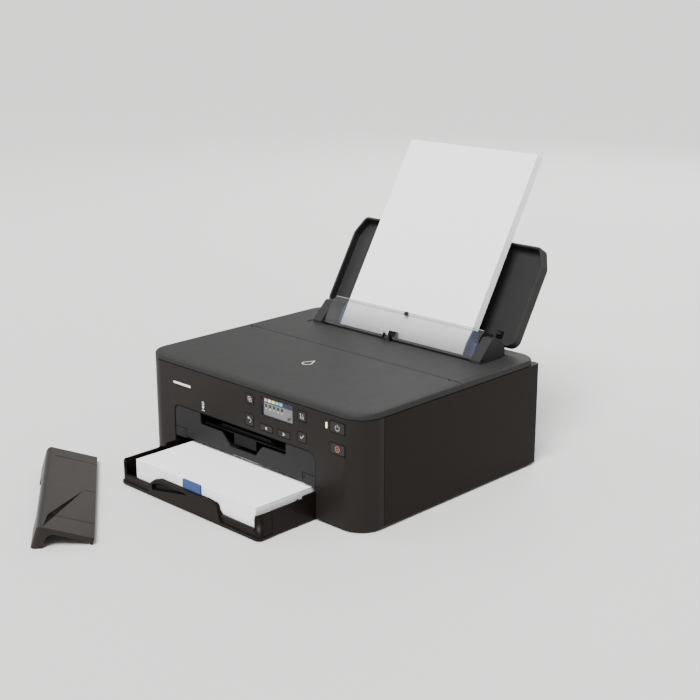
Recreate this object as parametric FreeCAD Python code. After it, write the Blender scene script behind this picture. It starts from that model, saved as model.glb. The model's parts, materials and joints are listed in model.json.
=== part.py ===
"""Desktop inkjet printer with a loaded front cassette, a loaded rear tray and a loose cassette cover.

Millimetres. While it is built, x is to the right, y to the back and z up, with x = y = 0 at the centre
of the body and z = 0 on the table. The last step moves all of it to the bottom centre of its own box.
"""

import FreeCAD, Part
import math
import os

Vector = FreeCAD.Vector

# --- overall body ---
body_width = 372.0
body_depth = 315.0
half_width = body_width / 2
half_depth = body_depth / 2
base_height = 3.0            # underside of the casing above the table
cassette_stack_top = 37.0    # top of the sheets in the cassette; all that stands over it counts from here
side_top = cassette_stack_top + 93.5    # top edge of the side and front walls
top_edge = side_top + 0.8    # lower edge of the lid and of the rear top
crown = side_top + 8.5       # top face of the lid
wall = 2.5
seam = 0.5                   # gap between neighbouring covers
front_corner = 30.0
rear_corner = 6.0
top_rear_corner = 28.0
top_edge_round = 3.0
band_width = 9.0             # the sloping band round the edge of the top
band_drop = 1.4
ledge = 12.0                 # width of the inward ledge under the lid
ledge_thick = 2.5
fascia_return = 35.2         # how far the front fascia wraps round the sides
lid_split = 165.5            # from the front face back to the joint behind the lid
knuckle = 1.5                # radius of the lid hinge's ears
hinge_pin = 0.9
rear_cover_half = half_width - 12.0
running = 0.05               # radial clearance of a shaft in its bearing
play = 0.3                   # gap between pieces that move past each other


def from_top(left, low, right, high):
    """An area of the front face, with its heights counted from the top edge of the front wall."""
    return left, side_top + low, right, side_top + high


# --- keys, as (left, bottom, right, top) ---
keys = {
    "key_home": from_top(1.2, -17.6, 14.3, -6.1),
    "key_back": from_top(-0.5, -44.6, 13.4, -30.2),
    "key_left": from_top(24.2, -44.9, 46.0, -36.9),
    "key_right": from_top(54.0, -44.9, 74.4, -36.9),
    "key_setup": from_top(87.7, -18.2, 100.7, -6.1),
    "key_ok": from_top(87.2, -42.8, 100.6, -30.9),
    "key_power": from_top(138.0, -18.4, 160.0, -5.5),
    "key_stop": from_top(138.0, -42.9, 160.0, -30.3),
}
key_gap = 0.5
key_round = 1.8
key_proud = 0.3
key_travel = 1.0
key_flange = 0.7
key_plate = 1.6
key_setback = 0.8           # from the wall's inner face back to a key's flange

# --- display and lamp ---
display = from_top(26.9, -27.8, 78.4, -3.8)
lamp = from_top(130.9, -16.5, 133.3, -9.2)
panel_board_size = from_top(-10.0, -46.5, 164.0, -3.5)
panel_board_thick = 1.6

# --- cassette and its paper ---
sheet_width = 210.0
sheet_length = 297.0
cassette_centre = 0.0
cassette_left = cassette_centre - sheet_width / 2 - 26.0
cassette_right = cassette_centre + sheet_width / 2 + 8.5
cassette_base = 2.0
cassette_floor = 2.5
cassette_wall = 2.5
cassette_height = 31.0
cassette_out = 84.0          # how far the cassette stands out of the front
cassette_joint = 19.0        # length of the front section of the cassette
cassette_stack_base = 6.8
bar_top = 27.3
bar_proud = 2.2
ledge_top = 14.5
guide_thick = 2.0
stop_left = -16.0
stop_width = 31.0

# --- output door, slot and tray ---
door_left = cassette_left - 1.0
door_right = cassette_right + 0.8
slot_left = -84.0
slot_right = 66.3
slot_floor = cassette_stack_top + 28.0
door_top = slot_floor + 15.0
door_thick = 2.5
door_setback = 0.5
door_gap = 0.7               # dark joint round the output door and its corner inserts
door_pivot_height = cassette_stack_top + 8.0
insert_height = cassette_stack_top + 15.0
insert_width = 21.5
pivot_pin = 1.5
door_pin = 0.9
output_tray_depth = 172.0
output_tray_thick = 1.5
output_extension_depth = 130.0

# --- rear feed ---
lean = 31.0                  # the rear stack leans back by this many degrees
feed_y = half_depth - 64.7   # front face of the rear stack where it leaves the top
feed_z = crown - 3.0
feed_centre = 10.0
rear_stack = 12.0
rear_stack_sunk = 24.0
feed_cover_half = sheet_width / 2 + 21.0
feed_cover_height = 39.0
feed_cover_thick = 1.4
support_left = -half_width + 28.0
support_right = half_width - 24.0
support_low = 33.0
support_kink = 139.0
support_high = 163.4
support_taper = 11.0
support_front = 26.0         # depth of the rim's front edge behind the front of the paper
support_rim = 11.0
support_thick = 2.5
support_wall = 3.0

# --- mechanism ---
frame_half = half_width - 22.2    # inner faces of the steel side plates
frame_front = -100.0
frame_back = 60.0
sheet_metal = 1.2
platen_top = slot_floor + 16.5
feed_roller_y = -5.0
feed_roller_z = slot_floor + 11.0
feed_roller_radius = 6.0
eject_roller_y = -75.0
eject_roller_z = slot_floor + 12.0
eject_roller_radius = 5.0
roller_shaft = 4.0
rail_y = 14.0
rail_thick = 1.5
carriage_width = 84.0
carriage_home = frame_half - 3.8 - carriage_width / 2
carriage_back = rail_y - 11.0
carriage_front = carriage_back - 65.0
carriage_low = platen_top + 2.0
carriage_high = carriage_low + 36.5
tank_seat = carriage_low + 9.5
rail_top = carriage_high + 4.5
belt_thick = 1.2
belt_y = rail_y - 8.0
belt_width = 5.0
pulley_radius = 6.0
pulley_shaft = 2.0
pulley_x = frame_half - 13.8
pulley_z = carriage_low + 22.5
motor_radius = 12.5
motor_length = 28.0
feed_motor_y = 40.0
feed_motor_z = slot_floor - 5.0
feed_pulley_radius = 16.0
eject_pulley_radius = 14.0
motor_pulley_radius = 6.0
purge_x = carriage_home + 23.0    # middle of the service station

# --- rear wall ---
inlet = (-half_width + 36.0, 19.0, -half_width + 59.0, 35.0)
usb = (-half_width + 83.0, 20.0, -half_width + 97.0, 33.0)
access = (-55.0, 24.0, half_width - 36.0, crown - 27.0)
access_pin = 0.8

# --- loose cassette cover ---
cover_length = 246.0
cover_depth = 62.6
cover_drop = 27.8
cover_lip = 6.0
cover_foot = 8.2
cover_leg = 12.5
cover_wall = 2.0
cover_turn = 143.8           # direction of its long side, in degrees from +x
cover_corner = (-9.2, -367.6)

front_y = -half_depth
inner_front = front_y + wall
lid_back = front_y + lid_split - seam / 2
rear_top_front = front_y + lid_split + seam / 2
hinge_y = (lid_back + rear_top_front) / 2
hinge_z = crown - knuckle
cassette_front = front_y - cassette_out
cassette_split = cassette_front + cassette_joint


# --- helpers ---
def box(x0, x1, y0, y1, z0, z1):
    return Part.makeBox(x1 - x0, y1 - y0, z1 - z0, Vector(x0, y0, z0))


def rod(axis, radius, start, end, u, v):
    """A cylinder along x, y or z; u and v are the other two coordinates in x, y, z order."""
    places = {"x": Vector(start, u, v), "y": Vector(u, start, v), "z": Vector(u, v, start)}
    ways = {"x": Vector(1, 0, 0), "y": Vector(0, 1, 0), "z": Vector(0, 0, 1)}
    return Part.makeCylinder(radius, end - start, places[axis], ways[axis])


def outline(points, place):
    """A closed wire through (u, v, corner radius) points, with an arc at each rounded corner."""
    count = len(points)
    flat = [Vector(u, v, 0) for u, v, radius in points]
    ends = []
    for i in range(count):
        before = (flat[i - 1] - flat[i]).normalize()
        after = (flat[(i + 1) % count] - flat[i]).normalize()
        radius = points[i][2]
        if radius <= 0:
            ends.append((flat[i], None, flat[i]))
            continue
        half = before.getAngle(after) / 2
        reach = radius / math.tan(half)
        middle = (before + after).normalize()
        centre = flat[i] + middle * (radius / math.sin(half))
        ends.append((flat[i] + before * reach, centre - middle * radius, flat[i] + after * reach))
    edges = []
    for i in range(count):
        start, middle, end = ends[i]
        if middle is not None:
            arc = Part.Arc(place(start), place(middle), place(end))
            edges.append(arc.toShape())
        following = ends[(i + 1) % count][0]
        if (following - end).Length > 1e-6:
            edges.append(Part.LineSegment(place(end), place(following)).toShape())
    return Part.Wire(edges)


def slab(points, z0, z1):
    """An (x, y) outline raised from z0 to z1."""
    wire = outline(points, lambda p: Vector(p.x, p.y, z0))
    return Part.Face(wire).extrude(Vector(0, 0, z1 - z0))


def panel(points, y0, y1):
    """An (x, z) outline made solid from y0 back to y1."""
    wire = outline(points, lambda p: Vector(p.x, y0, p.y))
    return Part.Face(wire).extrude(Vector(0, y1 - y0, 0))


def profile(points, x0, x1):
    """A (y, z) outline made solid from x0 to x1."""
    wire = outline(points, lambda p: Vector(x0, p.x, p.y))
    return Part.Face(wire).extrude(Vector(x1 - x0, 0, 0))


def rectangle(u0, v0, u1, v1, radius=0.0):
    return [(u0, v0, radius), (u1, v0, radius), (u1, v1, radius), (u0, v1, radius)]


def grown(area, margin):
    u0, v0, u1, v1 = area
    return (u0 - margin, v0 - margin, u1 + margin, v1 + margin)


def footprint(inset, front_radius, back_radius):
    """The body's plan, shrunk by inset on all sides."""
    x = half_width - inset
    y = half_depth - inset
    front = front_radius - inset
    back = max(back_radius - inset, 0.5)
    return [(-x, -y, front), (x, -y, front), (x, y, back), (-x, y, back)]


def leaning(shape):
    """Moves a shape built in the rear stack's own directions to its place: z along the sheets,
    y backwards through the stack, and the origin on its front face where it leaves the top."""
    turned = shape.copy()
    turned.rotate(Vector(0, 0, 0), Vector(1, 0, 0), -lean)
    turned.translate(Vector(0, feed_y, feed_z))
    return turned


def leaning_point(y, z):
    point = leaning(Part.Vertex(0, y, z)).Point
    return point.y, point.z


def joined(*shapes):
    whole = shapes[0].multiFuse(list(shapes[1:]))
    return whole.removeSplitter()


def belt_loop(circles, thick, place, push):
    """A closed belt round circles given as (u, v, radius) in anticlockwise order."""
    def loop(extra):
        count = len(circles)
        lines = []
        for i in range(count):
            u0, v0, r0 = circles[i]
            u1, v1, r1 = circles[(i + 1) % count]
            r0, r1 = r0 + extra, r1 + extra
            way = math.atan2(v1 - v0, u1 - u0)
            length = math.hypot(u1 - u0, v1 - v0)
            out = way - math.pi / 2 - math.asin((r1 - r0) / length)
            lines.append((
                Vector(u0 + r0 * math.cos(out), v0 + r0 * math.sin(out), 0),
                Vector(u1 + r1 * math.cos(out), v1 + r1 * math.sin(out), 0),
                out,
            ))
        edges = []
        for i in range(count):
            start, end, out = lines[i]
            edges.append(Part.LineSegment(place(start), place(end)).toShape())
            following = lines[(i + 1) % count]
            u, v, r = circles[(i + 1) % count]
            turn = (following[2] - out) % (2 * math.pi)
            middle = out + turn / 2
            peak = Vector(u + (r + extra) * math.cos(middle), v + (r + extra) * math.sin(middle), 0)
            edges.append(Part.Arc(place(end), place(peak), place(following[0])).toShape())
        return Part.Face(Part.Wire(edges))
    return loop(play + thick).extrude(push).cut(loop(play).extrude(push))


# --- casing ---
def casing():
    """The front, side and rear walls as one ring with a ledge under the lid; the covers are cut from it."""
    outer = slab(footprint(0, front_corner, rear_corner), base_height, side_top)
    room = slab(footprint(wall, front_corner, rear_corner), base_height - 1, side_top - ledge_thick)
    mouth = slab(footprint(ledge, front_corner, rear_corner), base_height - 1, side_top + 1)
    return outer.cut(room).cut(mouth)


def door_opening(margin):
    """The opening in the fascia above the table, with its two rounded upper corners."""
    return [
        (door_left - margin, -1.0, 0),
        (door_right + margin, -1.0, 0),
        (door_right + margin, door_top + margin, 12.0),
        (door_left - margin, door_top + margin, 8.0),
    ]


def front_fascia(ring):
    split = front_y + fascia_return - seam / 2
    part = ring.common(box(-half_width - 1, half_width + 1, front_y - 1, split, 0, crown))
    part = part.cut(panel(door_opening(0), front_y - 1, inner_front + 20))
    for area in keys.values():
        part = part.cut(panel(rectangle(*area, key_round), front_y - 1, inner_front + 1))
    part = part.cut(panel(rectangle(*display, 1.2), front_y - 1, inner_front + 1))
    part = part.cut(panel(rectangle(*lamp, 1.0), front_y - 1, inner_front + 1))
    return part


def side_cover(ring, side):
    split = front_y + fascia_return + seam / 2
    inner, outer = rear_cover_half + seam, half_width + 1
    x0, x1 = (inner, outer) if side > 0 else (-outer, -inner)
    return ring.common(box(x0, x1, split, half_depth + 1, 0, crown))


def rear_wall_holes():
    return [grown(inlet, play), grown(usb, play), grown(access, seam)]


def rear_screw_places():
    high = crown - 27.0
    return [(x, z) for x in (9.0 - rear_cover_half, rear_cover_half - 12.0) for z in (20.0, high)]


def rear_cover(ring):
    part = ring.common(box(-rear_cover_half, rear_cover_half, 0, half_depth + 1, 0, crown))
    for area in rear_wall_holes():
        part = part.cut(panel(rectangle(*area), half_depth - wall - 1, half_depth + 1))
    for x, z in rear_screw_places():
        part = part.cut(rod("y", 3.0, half_depth - 1.4, half_depth + 1, x, z))
        part = part.cut(rod("y", 1.35, half_depth - wall - 1, half_depth + 1, x, z))
    y, z = access_pivot()
    return part.cut(rod("x", access_pin + running, access[0] - 5, access[2] + 5, y, z))


def access_pivot():
    """The y and z of the pins at the foot of the rear access cover."""
    return half_depth - (wall + 0.2) / 2, access[1] + (wall - 0.2) / 2


def rear_access_cover():
    """The transport-unit door: a ribbed panel that tips back about two pins at its rounded foot."""
    x0, z0, x1, z1 = access
    pivot_y, pivot_z = access_pivot()
    part = panel([(x0, pivot_z, 0), (x1, pivot_z, 0), (x1, z1, 1.5), (x0, z1, 1.5)],
                 half_depth - wall, half_depth - 0.2)
    part = joined(part, rod("x", (wall - 0.2) / 2, x0, x1, pivot_y, pivot_z))
    part = joined(part, rod("x", access_pin, x0 - 3.5, x1 + 3.5, pivot_y, pivot_z))
    for i in range(5):
        x = x0 + 20 + i * (x1 - x0 - 40) / 4
        part = joined(part, box(x - 1, x + 1, half_depth - wall - 2.4, half_depth - wall, z0 + 12, z1 - 4))
    return part


def top_slab():
    """The lid and the rear top as one shallow inverted dish."""
    shoulder = crown - band_drop
    wires = []
    for inset, z in ((0, shoulder), (band_width, crown)):
        points = footprint(inset, front_corner, top_rear_corner)
        wires.append(outline(points, lambda p, z=z: Vector(p.x, p.y, z)))
    band = Part.makeLoft(wires, True, True)
    side = slab(footprint(0, front_corner, top_rear_corner), top_edge, shoulder)
    outer = side.fuse(band).removeSplitter()
    rim = [e for e in outer.Edges
           if abs(e.BoundBox.ZMin - shoulder) < 1e-3 and abs(e.BoundBox.ZMax - shoulder) < 1e-3]
    outer = outer.makeFillet(top_edge_round, rim)
    inner = slab(footprint(wall, front_corner, top_rear_corner), top_edge - 1, crown - wall)
    return outer.cut(inner)


def knuckle_places():
    inner, outer = half_width - 19.0, half_width - 14.0
    return [(-outer, -inner), (inner, outer)]


def top_cover(dish):
    """The lid over the ink tanks, with two pins along its rear edge."""
    part = dish.common(box(-half_width - 1, half_width + 1, front_y - 1, lid_back, 0, crown + 1))
    for side in (-1, 1):
        spine = box(side * 60 - 1, side * 60 + 1, front_y + 8, lid_back - 8, crown - wall - 2.5, crown - wall)
        part = joined(part, spine)
    cross = box(-half_width + 8, half_width - 8, front_y + 20, front_y + 22, crown - wall - 2.5, crown - wall)
    part = joined(part, cross)
    for x0, x1 in knuckle_places():
        part = part.cut(box(x0 - play, x1 + play, lid_back - 2.6, lid_back + 1, top_edge, crown + 1))
        holder_low, holder_high = x0 - 4, x1 + 4
        for a, b in ((holder_low, x0 - play), (x1 + play, holder_high)):
            eye = box(a, b, hinge_y - 1.4, lid_back, hinge_z - 1.1, crown - 0.5)
            part = joined(part, eye)
        part = joined(part, rod("x", hinge_pin, x0 - 0.8, x1 + 0.8, hinge_y, hinge_z))
    return part


def rear_slot():
    """The feed slot's plan in the rear top: left, front, right, back."""
    y_front = feed_y - 8.8
    return (feed_centre - feed_cover_half - 17, y_front, feed_centre + feed_cover_half + 17, y_front + 42)


def cheek_places():
    left = feed_centre - feed_cover_half
    right = feed_centre + feed_cover_half
    return [(left - 16.0, left - 1.0), (right + 1.0, right + 16.0)]


def feed_pivot():
    return leaning_point(-6.5, 1.0)


def rear_top_cover(dish):
    part = dish.common(box(-half_width - 1, half_width + 1, rear_top_front, half_depth + 1, 0, crown + 1))
    relief = profile([(rear_top_front - 1, crown - 3.2, 0), (rear_top_front + 2.2, crown + 1, 0),
                      (rear_top_front - 1, crown + 1, 0)], -half_width - 1, half_width + 1)
    part = part.cut(relief)
    x0, y0, x1, y1 = rear_slot()
    tread = slab(rectangle(x0 - 5, y0 - 12, x1 + 5, y1 + 6, 5), crown - 1.0, crown + 1)
    part = part.cut(tread)
    part = part.cut(slab(rectangle(x0, y0, x1, y1, 3), top_edge, crown + 1))
    pivot_y, pivot_z = feed_pivot()
    for a, b in cheek_places():
        cheek = profile([
            (y0 - 3, crown - 4, 0),
            (y0 - 3, crown + 2.5, 2),
            (feed_y + 12, feed_z + 29, 5),
            (feed_y + 24, feed_z + 27, 4),
            (y1 + 4, crown + 12, 4),
            (y1 + 4, crown - 4, 0),
        ], a, b)
        part = joined(part, cheek)
    part = part.cut(rod("x", pivot_pin + running, x0 - 1, x1 + 1, pivot_y, pivot_z))
    for a, b in knuckle_places():
        part = part.cut(box(a - 5, b + 5, rear_top_front - 1, hinge_y + 2.0, top_edge, crown + 1))
        ear = joined(
            box(a, b, hinge_y, rear_top_front + 3, hinge_z - knuckle, crown),
            rod("x", knuckle, a, b, hinge_y, hinge_z),
            box(a, b, rear_top_front, rear_top_front + 6, hinge_z - knuckle, crown - 1),
        )
        part = joined(part, ear).cut(rod("x", hinge_pin + running, a - 1, b + 1, hinge_y, hinge_z))
    catch = profile([(y0 - 4, crown - 2.5, 0), (y0 - 4, crown + 3, 1), (y0 - 1.5, crown + 6, 1),
                     (y0, crown + 6, 0.5), (y0, crown - 2.5, 0)], -4, 7)
    flap = leaning(panel(support_outline(0), support_front, support_front + support_rim + support_thick))
    for x in (support_left + 35, support_right - 42):
        post = box(x - 6, x + 6, half_depth - 26, half_depth - 9, crown - 1.5, crown + 14)
        part = joined(part, post.cut(flap))
    return joined(part, catch)


def bay():
    """The cassette's bay in the bottom case: left, right, back and ceiling."""
    return door_left - play, door_right + play, cassette_front + sheet_length + 10.5, cassette_stack_top + 7


def pickup_window():
    return (-74.0, -2.0, 58.0, 34.0)


def pickup_axis():
    return 15.0, cassette_stack_top + 0.4 + 11.5


def bottom_case():
    left, right, back, ceiling = bay()
    inset = wall + play
    part = slab(footprint(inset, front_corner, rear_corner), base_height, base_height + wall)
    rim = slab(footprint(inset, front_corner, rear_corner), base_height, base_height + 9)
    part = joined(part, rim.cut(slab(footprint(inset + 2, front_corner, rear_corner), 0, crown)))
    shell = box(left - 2, right + 2, inner_front + play, back + 2, base_height, ceiling + 2.3)
    part = joined(part, shell)
    part = part.cut(box(left, right, front_y - 1, back, 0, ceiling))
    part = part.cut(box(left, right, front_y - 1, inner_front + 6, 0, crown))
    x0, y0, x1, y1 = pickup_window()
    part = part.cut(box(x0 + 4, x1 - 4, y0, y1, 0, crown))
    y, z = pickup_axis()
    for a in (x0, x1 - 4):
        part = joined(part, box(a, a + 4, y - 7, y + 7, ceiling, z + 7))
    part = part.cut(rod("x", 3 + running, x0 - 1, x1 + 1, y, z))
    for x in (26.0 - half_width, 38.0 - half_width, half_width - 58.0, half_width - 36.0):
        part = joined(part, box(x - 1, x + 1, -90, 60, base_height, base_height + 12))
    return part


def foot_places():
    front = [(side * (half_width - 20.0), front_y + 39.5) for side in (-1, 1)]
    back = [(side * (half_width - 14.0), half_depth - 67.5) for side in (-1, 1)]
    return front + back


def feet():
    pads = []
    for x, y in foot_places():
        pads.append(slab(rectangle(x - 7, y - 9, x + 7, y + 9, 3), 0, base_height))
    return Part.makeCompound(pads)


# --- control panel ---
def key(area):
    face = grown(area, -key_gap)
    rest = inner_front + key_setback
    cap = panel(rectangle(*face, key_round - key_gap), front_y - key_proud, rest + key_plate)
    flange = panel(rectangle(*grown(area, key_flange), key_round), rest, rest + key_plate)
    x, z = (area[0] + area[2]) / 2, (area[1] + area[3]) / 2
    board = panel_board_front()
    stem = rod("y", 1.5, rest, board - key_travel - play, x, z)
    return joined(cap, flange, stem)


def panel_board_front():
    return inner_front + 5.0


def panel_board():
    y = panel_board_front()
    return panel(rectangle(*panel_board_size, 2), y, y + panel_board_thick)


def lcd_window():
    return panel(rectangle(*grown(display, -play), 1.0), front_y + 0.2, inner_front - 0.1)


def lcd_module():
    board = panel_board_front()
    return panel(rectangle(*grown(display, 1.2), 0.5), inner_front + 0.1, board)


def led_lens():
    front = panel(rectangle(*grown(lamp, -0.2), 0.9), front_y - 0.1, inner_front + 0.5)
    guide = panel(rectangle(*grown(lamp, -0.6)), inner_front + 0.5, panel_board_front())
    return joined(front, guide)


# --- output door and trays ---
def door_plane():
    return front_y + door_setback, front_y + door_setback + door_thick


def door_pivot():
    return (door_plane()[0] + door_plane()[1]) / 2, door_pivot_height


def door_notch():
    """The finger notch below the slot, from the slot's floor down."""
    return [
        (slot_left, door_top + 5, 0),
        (slot_left, slot_floor, 3),
        (-45.0, slot_floor, 3),
        (-36.7, slot_floor - 7.8, 0.8),
        (-29.8, slot_floor - 14.6, 3),
        (14.5, slot_floor - 14.6, 3),
        (22.5, slot_floor - 4.5, 3),
        (27.0, slot_floor - 0.6, 0.5),
        (slot_right, slot_floor, 3),
        (slot_right, door_top + 5, 0),
    ]


def output_door():
    y0, y1 = door_plane()
    low = door_pivot_height - 3
    gap = door_gap
    points = [
        (door_left + insert_width, low, 0.8),
        (door_right - insert_width, low, 0.8),
        (door_right - insert_width, insert_height + gap, 0),
        (door_right - gap, insert_height + gap, 0.5),
        (door_right - gap, door_top - gap, 12.0 - gap),
        (door_left + gap, door_top - gap, 8.0 - gap),
        (door_left + gap, insert_height + gap, 0.5),
        (door_left + insert_width, insert_height + gap, 0),
    ]
    part = panel(points, y0, y1)
    part = part.cut(panel(door_notch(), y0 - 1, y1 + 1))
    y, z = door_pivot()
    for x, side in ((door_left + insert_width, -1), (door_right - insert_width, 1)):
        ends = sorted((x - side * 4, x + side * 4))
        part = joined(part, rod("x", door_pin, ends[0], ends[1], y, z))
    return part


def door_inserts():
    """The two fixed corner blocks that the output door turns on."""
    y0, y1 = door_plane()
    y, z = door_pivot()
    blocks = []
    for x0, x1 in ((door_left + door_gap, door_left + insert_width - door_gap),
                   (door_right - insert_width + door_gap, door_right - door_gap)):
        block = box(x0, x1, y0, inner_front + 6, cassette_stack_top + 3, insert_height)
        block = block.cut(rod("x", door_pin + running, x0 - 1, x1 + 1, y, z))
        mark = x1 - 2.5 if x0 < 0 else x0 + 2.5
        block = block.cut(box(mark - 0.6, mark + 0.6, y0 - 1, y0 + 0.6, insert_height - 6, insert_height - 2))
        blocks.append(block)
    return Part.makeCompound(blocks)


def tray_sides():
    return slot_left + 2, slot_right - 2.3


def tray_front():
    return door_plane()[1] + 1.5


def output_tray():
    """The tray that draws out of the slot, with a finger lip in the notch."""
    x0, x1 = tray_sides()
    y0 = tray_front()
    low = slot_floor + 1.3
    plate = slab([(x0, y0, 4), (x1, y0, 4), (x1, y0 + output_tray_depth, 0), (x0, y0 + output_tray_depth, 0)],
                 low, low + output_tray_thick)
    lip = box(-27, 12, y0, y0 + 2, slot_floor - 11, low + 0.5)
    edges = [box(a, a + 1.5, y0 + 6, y0 + output_tray_depth, low, low + 3.4) for a in (x0, x1 - 1.5)]
    return joined(plate, lip, *edges)


def output_extension():
    """The flat extension that lies on the output tray."""
    x0, x1 = tray_sides()
    y0 = tray_front() + 3.5
    low = slot_floor + 1.3 + output_tray_thick + play
    plate = slab(rectangle(x0 + 20, y0, x1 - 20, y0 + output_extension_depth, 6), low, low + 1.8)
    return joined(plate, box(x0 + 30, x1 - 30, y0, y0 + 2, low, low + 4.5))


# --- cassette ---
def cassette_plan(inset, y0, y1, corner):
    return [
        (cassette_left + inset, y0, corner),
        (cassette_right - inset, y0, corner),
        (cassette_right - inset, y1, 0),
        (cassette_left + inset, y1, 0),
    ]


def cassette_tray():
    y1 = cassette_front + 3 + sheet_length + 5
    z0, z1 = cassette_base, cassette_height
    part = slab(cassette_plan(0, cassette_split + 0.4, y1, 0), z0, z1)
    part = part.cut(slab(cassette_plan(cassette_wall, cassette_split - 1, y1 - cassette_wall, 0),
                         z0 + cassette_floor, z1 + 1))
    part = part.cut(box(cassette_left + 12, cassette_right - 12, y1 - 8, y1 + 1, z0 + 20, z1 + 1))
    rail = profile([
        (front_y - 30, z1 - 3, 0), (front_y - 30, z1, 0), (front_y - 24, z1 + 1.5, 0),
        (front_y - 24, z1 - 1, 0), (front_y - 19, z1 - 1, 0), (front_y - 17, z1 + 3, 0),
        (front_y + 60, z1 + 3.5, 0), (front_y + 60, z1 - 3, 0),
    ], cassette_right - cassette_wall, cassette_right)
    other = rail.copy()
    other.translate(Vector(cassette_left + cassette_wall - cassette_right, 0, 0))
    return joined(part, rail, other)


def handle_crest():
    """The upper edge of the front wall from left to right, where it rises into the handle bar."""
    return [
        (-77.0, ledge_top, 1.5), (-67.0, bar_top - 4.6, 3), (-55.0, bar_top - 0.4, 5), (30.0, bar_top, 4),
        (45.5, bar_top - 2, 4), (47.5, ledge_top + 4, 1), (52.0, ledge_top, 1.5),
    ]


def cassette_front_section():
    """The front section that draws out to suit the sheet, with the handle bar and finger recess."""
    z0 = cassette_base
    y0, y1 = cassette_front, cassette_split
    corner = 7.0
    room = cassette_wall
    part = slab(cassette_plan(0, y0, y1, corner), z0, cassette_height)
    part = part.cut(slab(cassette_plan(room, y0 + room, y1 + 1, corner - room), z0 + cassette_floor,
                         cassette_height + 1))
    left, right = cassette_left + corner + 1, cassette_right - corner - 1
    above = [(left, cassette_height + 1, 0), (left, ledge_top, 0), *handle_crest(),
             (right, ledge_top, 0), (right, cassette_height + 1, 0)]
    part = part.cut(panel(above, y0 - 1, y0 + room + 0.5))
    bar = panel([(-77.0, z0 + 2, 1), (52.0, z0 + 2, 1), (47.5, ledge_top + 3, 1), (45.5, bar_top - 2.5, 4),
                 (30.0, bar_top - 0.6, 4), (-55.0, bar_top - 1, 5), (-67.0, bar_top - 5, 3),
                 (-77.0, ledge_top, 1.5)], y0 - bar_proud, y0 + 0.5)
    part = joined(part, bar)
    part = part.cut(panel([(-70.0, 9.5, 1.5), (-2.0, 22.0, 0.3), (-56.0, 22.0, 3), (-70.0, 17.0, 2)],
                          y0 - 4, y0 + room - 1.0))
    shelves = [box(cassette_left + corner, -77, y0 - 1.2, y0 + 0.5, ledge_top - 3, ledge_top),
               box(52, cassette_right - corner, y0 - 1.2, y0 + 0.5, ledge_top - 3, ledge_top)]
    part = joined(part, *shelves)
    side_view = profile([(y0 - 4, z0 - 1, 0), (y1 + 1, z0 - 1, 0), (y1 + 1, cassette_height + 1, 0),
                         (y1, cassette_height, 0), (y0, cassette_height, 7), (y0, bar_top + 1, 0),
                         (y0 - 4, bar_top + 1, 0)], cassette_left - 1, cassette_right + 1)
    part = part.common(side_view)
    skirt = slab(cassette_plan(-0.8, y0 - 1.8, y1, corner), z0, z0 + 3.0)
    skirt = skirt.cut(slab(cassette_plan(room - 0.5, y0 + room - 0.5, y1 + 1, corner - room), z0 - 1, z0 + 4))
    tongue = box(cassette_left + 22, cassette_right - 20, y1 - 2, y1 + 60, z0 + cassette_floor + play,
                 z0 + cassette_floor + play + 1.4)
    root = box(cassette_left + 22, cassette_right - 20, y1 - 8, y1 - 1,
               z0 + 1, z0 + cassette_floor + play + 1.4)
    return joined(part, skirt, root, tongue)


def stack_front():
    return cassette_front + cassette_wall + 0.5


def cassette_paper():
    half = sheet_width / 2
    y0 = stack_front()
    return box(cassette_centre - half, cassette_centre + half, y0, y0 + sheet_length,
               cassette_stack_base, cassette_stack_top)


def length_stop():
    """The blue stop at the front edge of the cassette's sheets, clipped to the handle bar."""
    x0 = stop_left
    high = cassette_stack_top + 1.2
    return panel([(x0, bar_top, 0), (x0 + stop_width, bar_top, 0), (x0 + stop_width, high, 1), (x0, high, 1)],
                 cassette_front + 0.4, stack_front() - 0.2)


def cassette_guide(side):
    edge = cassette_centre + side * (sheet_width / 2 + play)
    x0, x1 = sorted((edge, edge + side * guide_thick))
    low = cassette_base + cassette_floor + play
    return box(x0, x1, -130, -40, low, 24)


# --- rear feed ---
def rear_paper():
    half = sheet_width / 2
    return leaning(box(feed_centre - half, feed_centre + half, 0, rear_stack,
                       -rear_stack_sunk, sheet_length - rear_stack_sunk))


def rear_tray_base():
    """The sloping bed behind the rear stack, its foot ledge and the cheeks that carry the pickup shaft."""
    back = rear_stack + 0.4
    left = feed_centre - feed_cover_half + 2
    right = feed_centre + feed_cover_half - 2
    bed = box(left, right, back, back + 2.5, -32, 26)
    foot = box(left + 30, right - 30, 2, back + 1, -rear_stack_sunk - 3, -rear_stack_sunk - 0.2)
    y, z = pickup_roller_place()
    cheeks = [box(a, a + 2, -12.5, back + 1, -32, -8) for a in (left, right - 2)]
    part = joined(bed, foot, *cheeks)
    part = part.cut(rod("x", 3 + running, left - 1, left + 3, y, z))
    part = part.cut(rod("x", 3 + running, right - 3, right + 1, y, z))
    return leaning(part)


def pickup_roller_place():
    """The rear pickup roller's axis in the stack's own directions."""
    return -7.4, -16.0


def tyred_shaft(x0, x1, shaft, tyre, bands, y, z):
    part = rod("x", shaft, x0, x1, y, z)
    for a, b in bands:
        part = joined(part, rod("x", tyre, a, b, y, z))
    return part


def rear_pickup_roller():
    y, z = pickup_roller_place()
    left = feed_centre - feed_cover_half
    right = feed_centre + feed_cover_half
    bands = [(feed_centre - 40, feed_centre - 15), (feed_centre + 15, feed_centre + 40)]
    return leaning(tyred_shaft(left + 0.5, right - 0.5, 3.0, 7.0, bands, y, z))


def cassette_pickup_roller():
    x0, y0, x1, y1 = pickup_window()
    y, z = pickup_axis()
    return tyred_shaft(x0 - 0.5, x1 + 0.5, 3.0, 11.5, [(-24.0, -6.0), (6.0, 24.0)], y, z)


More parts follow.
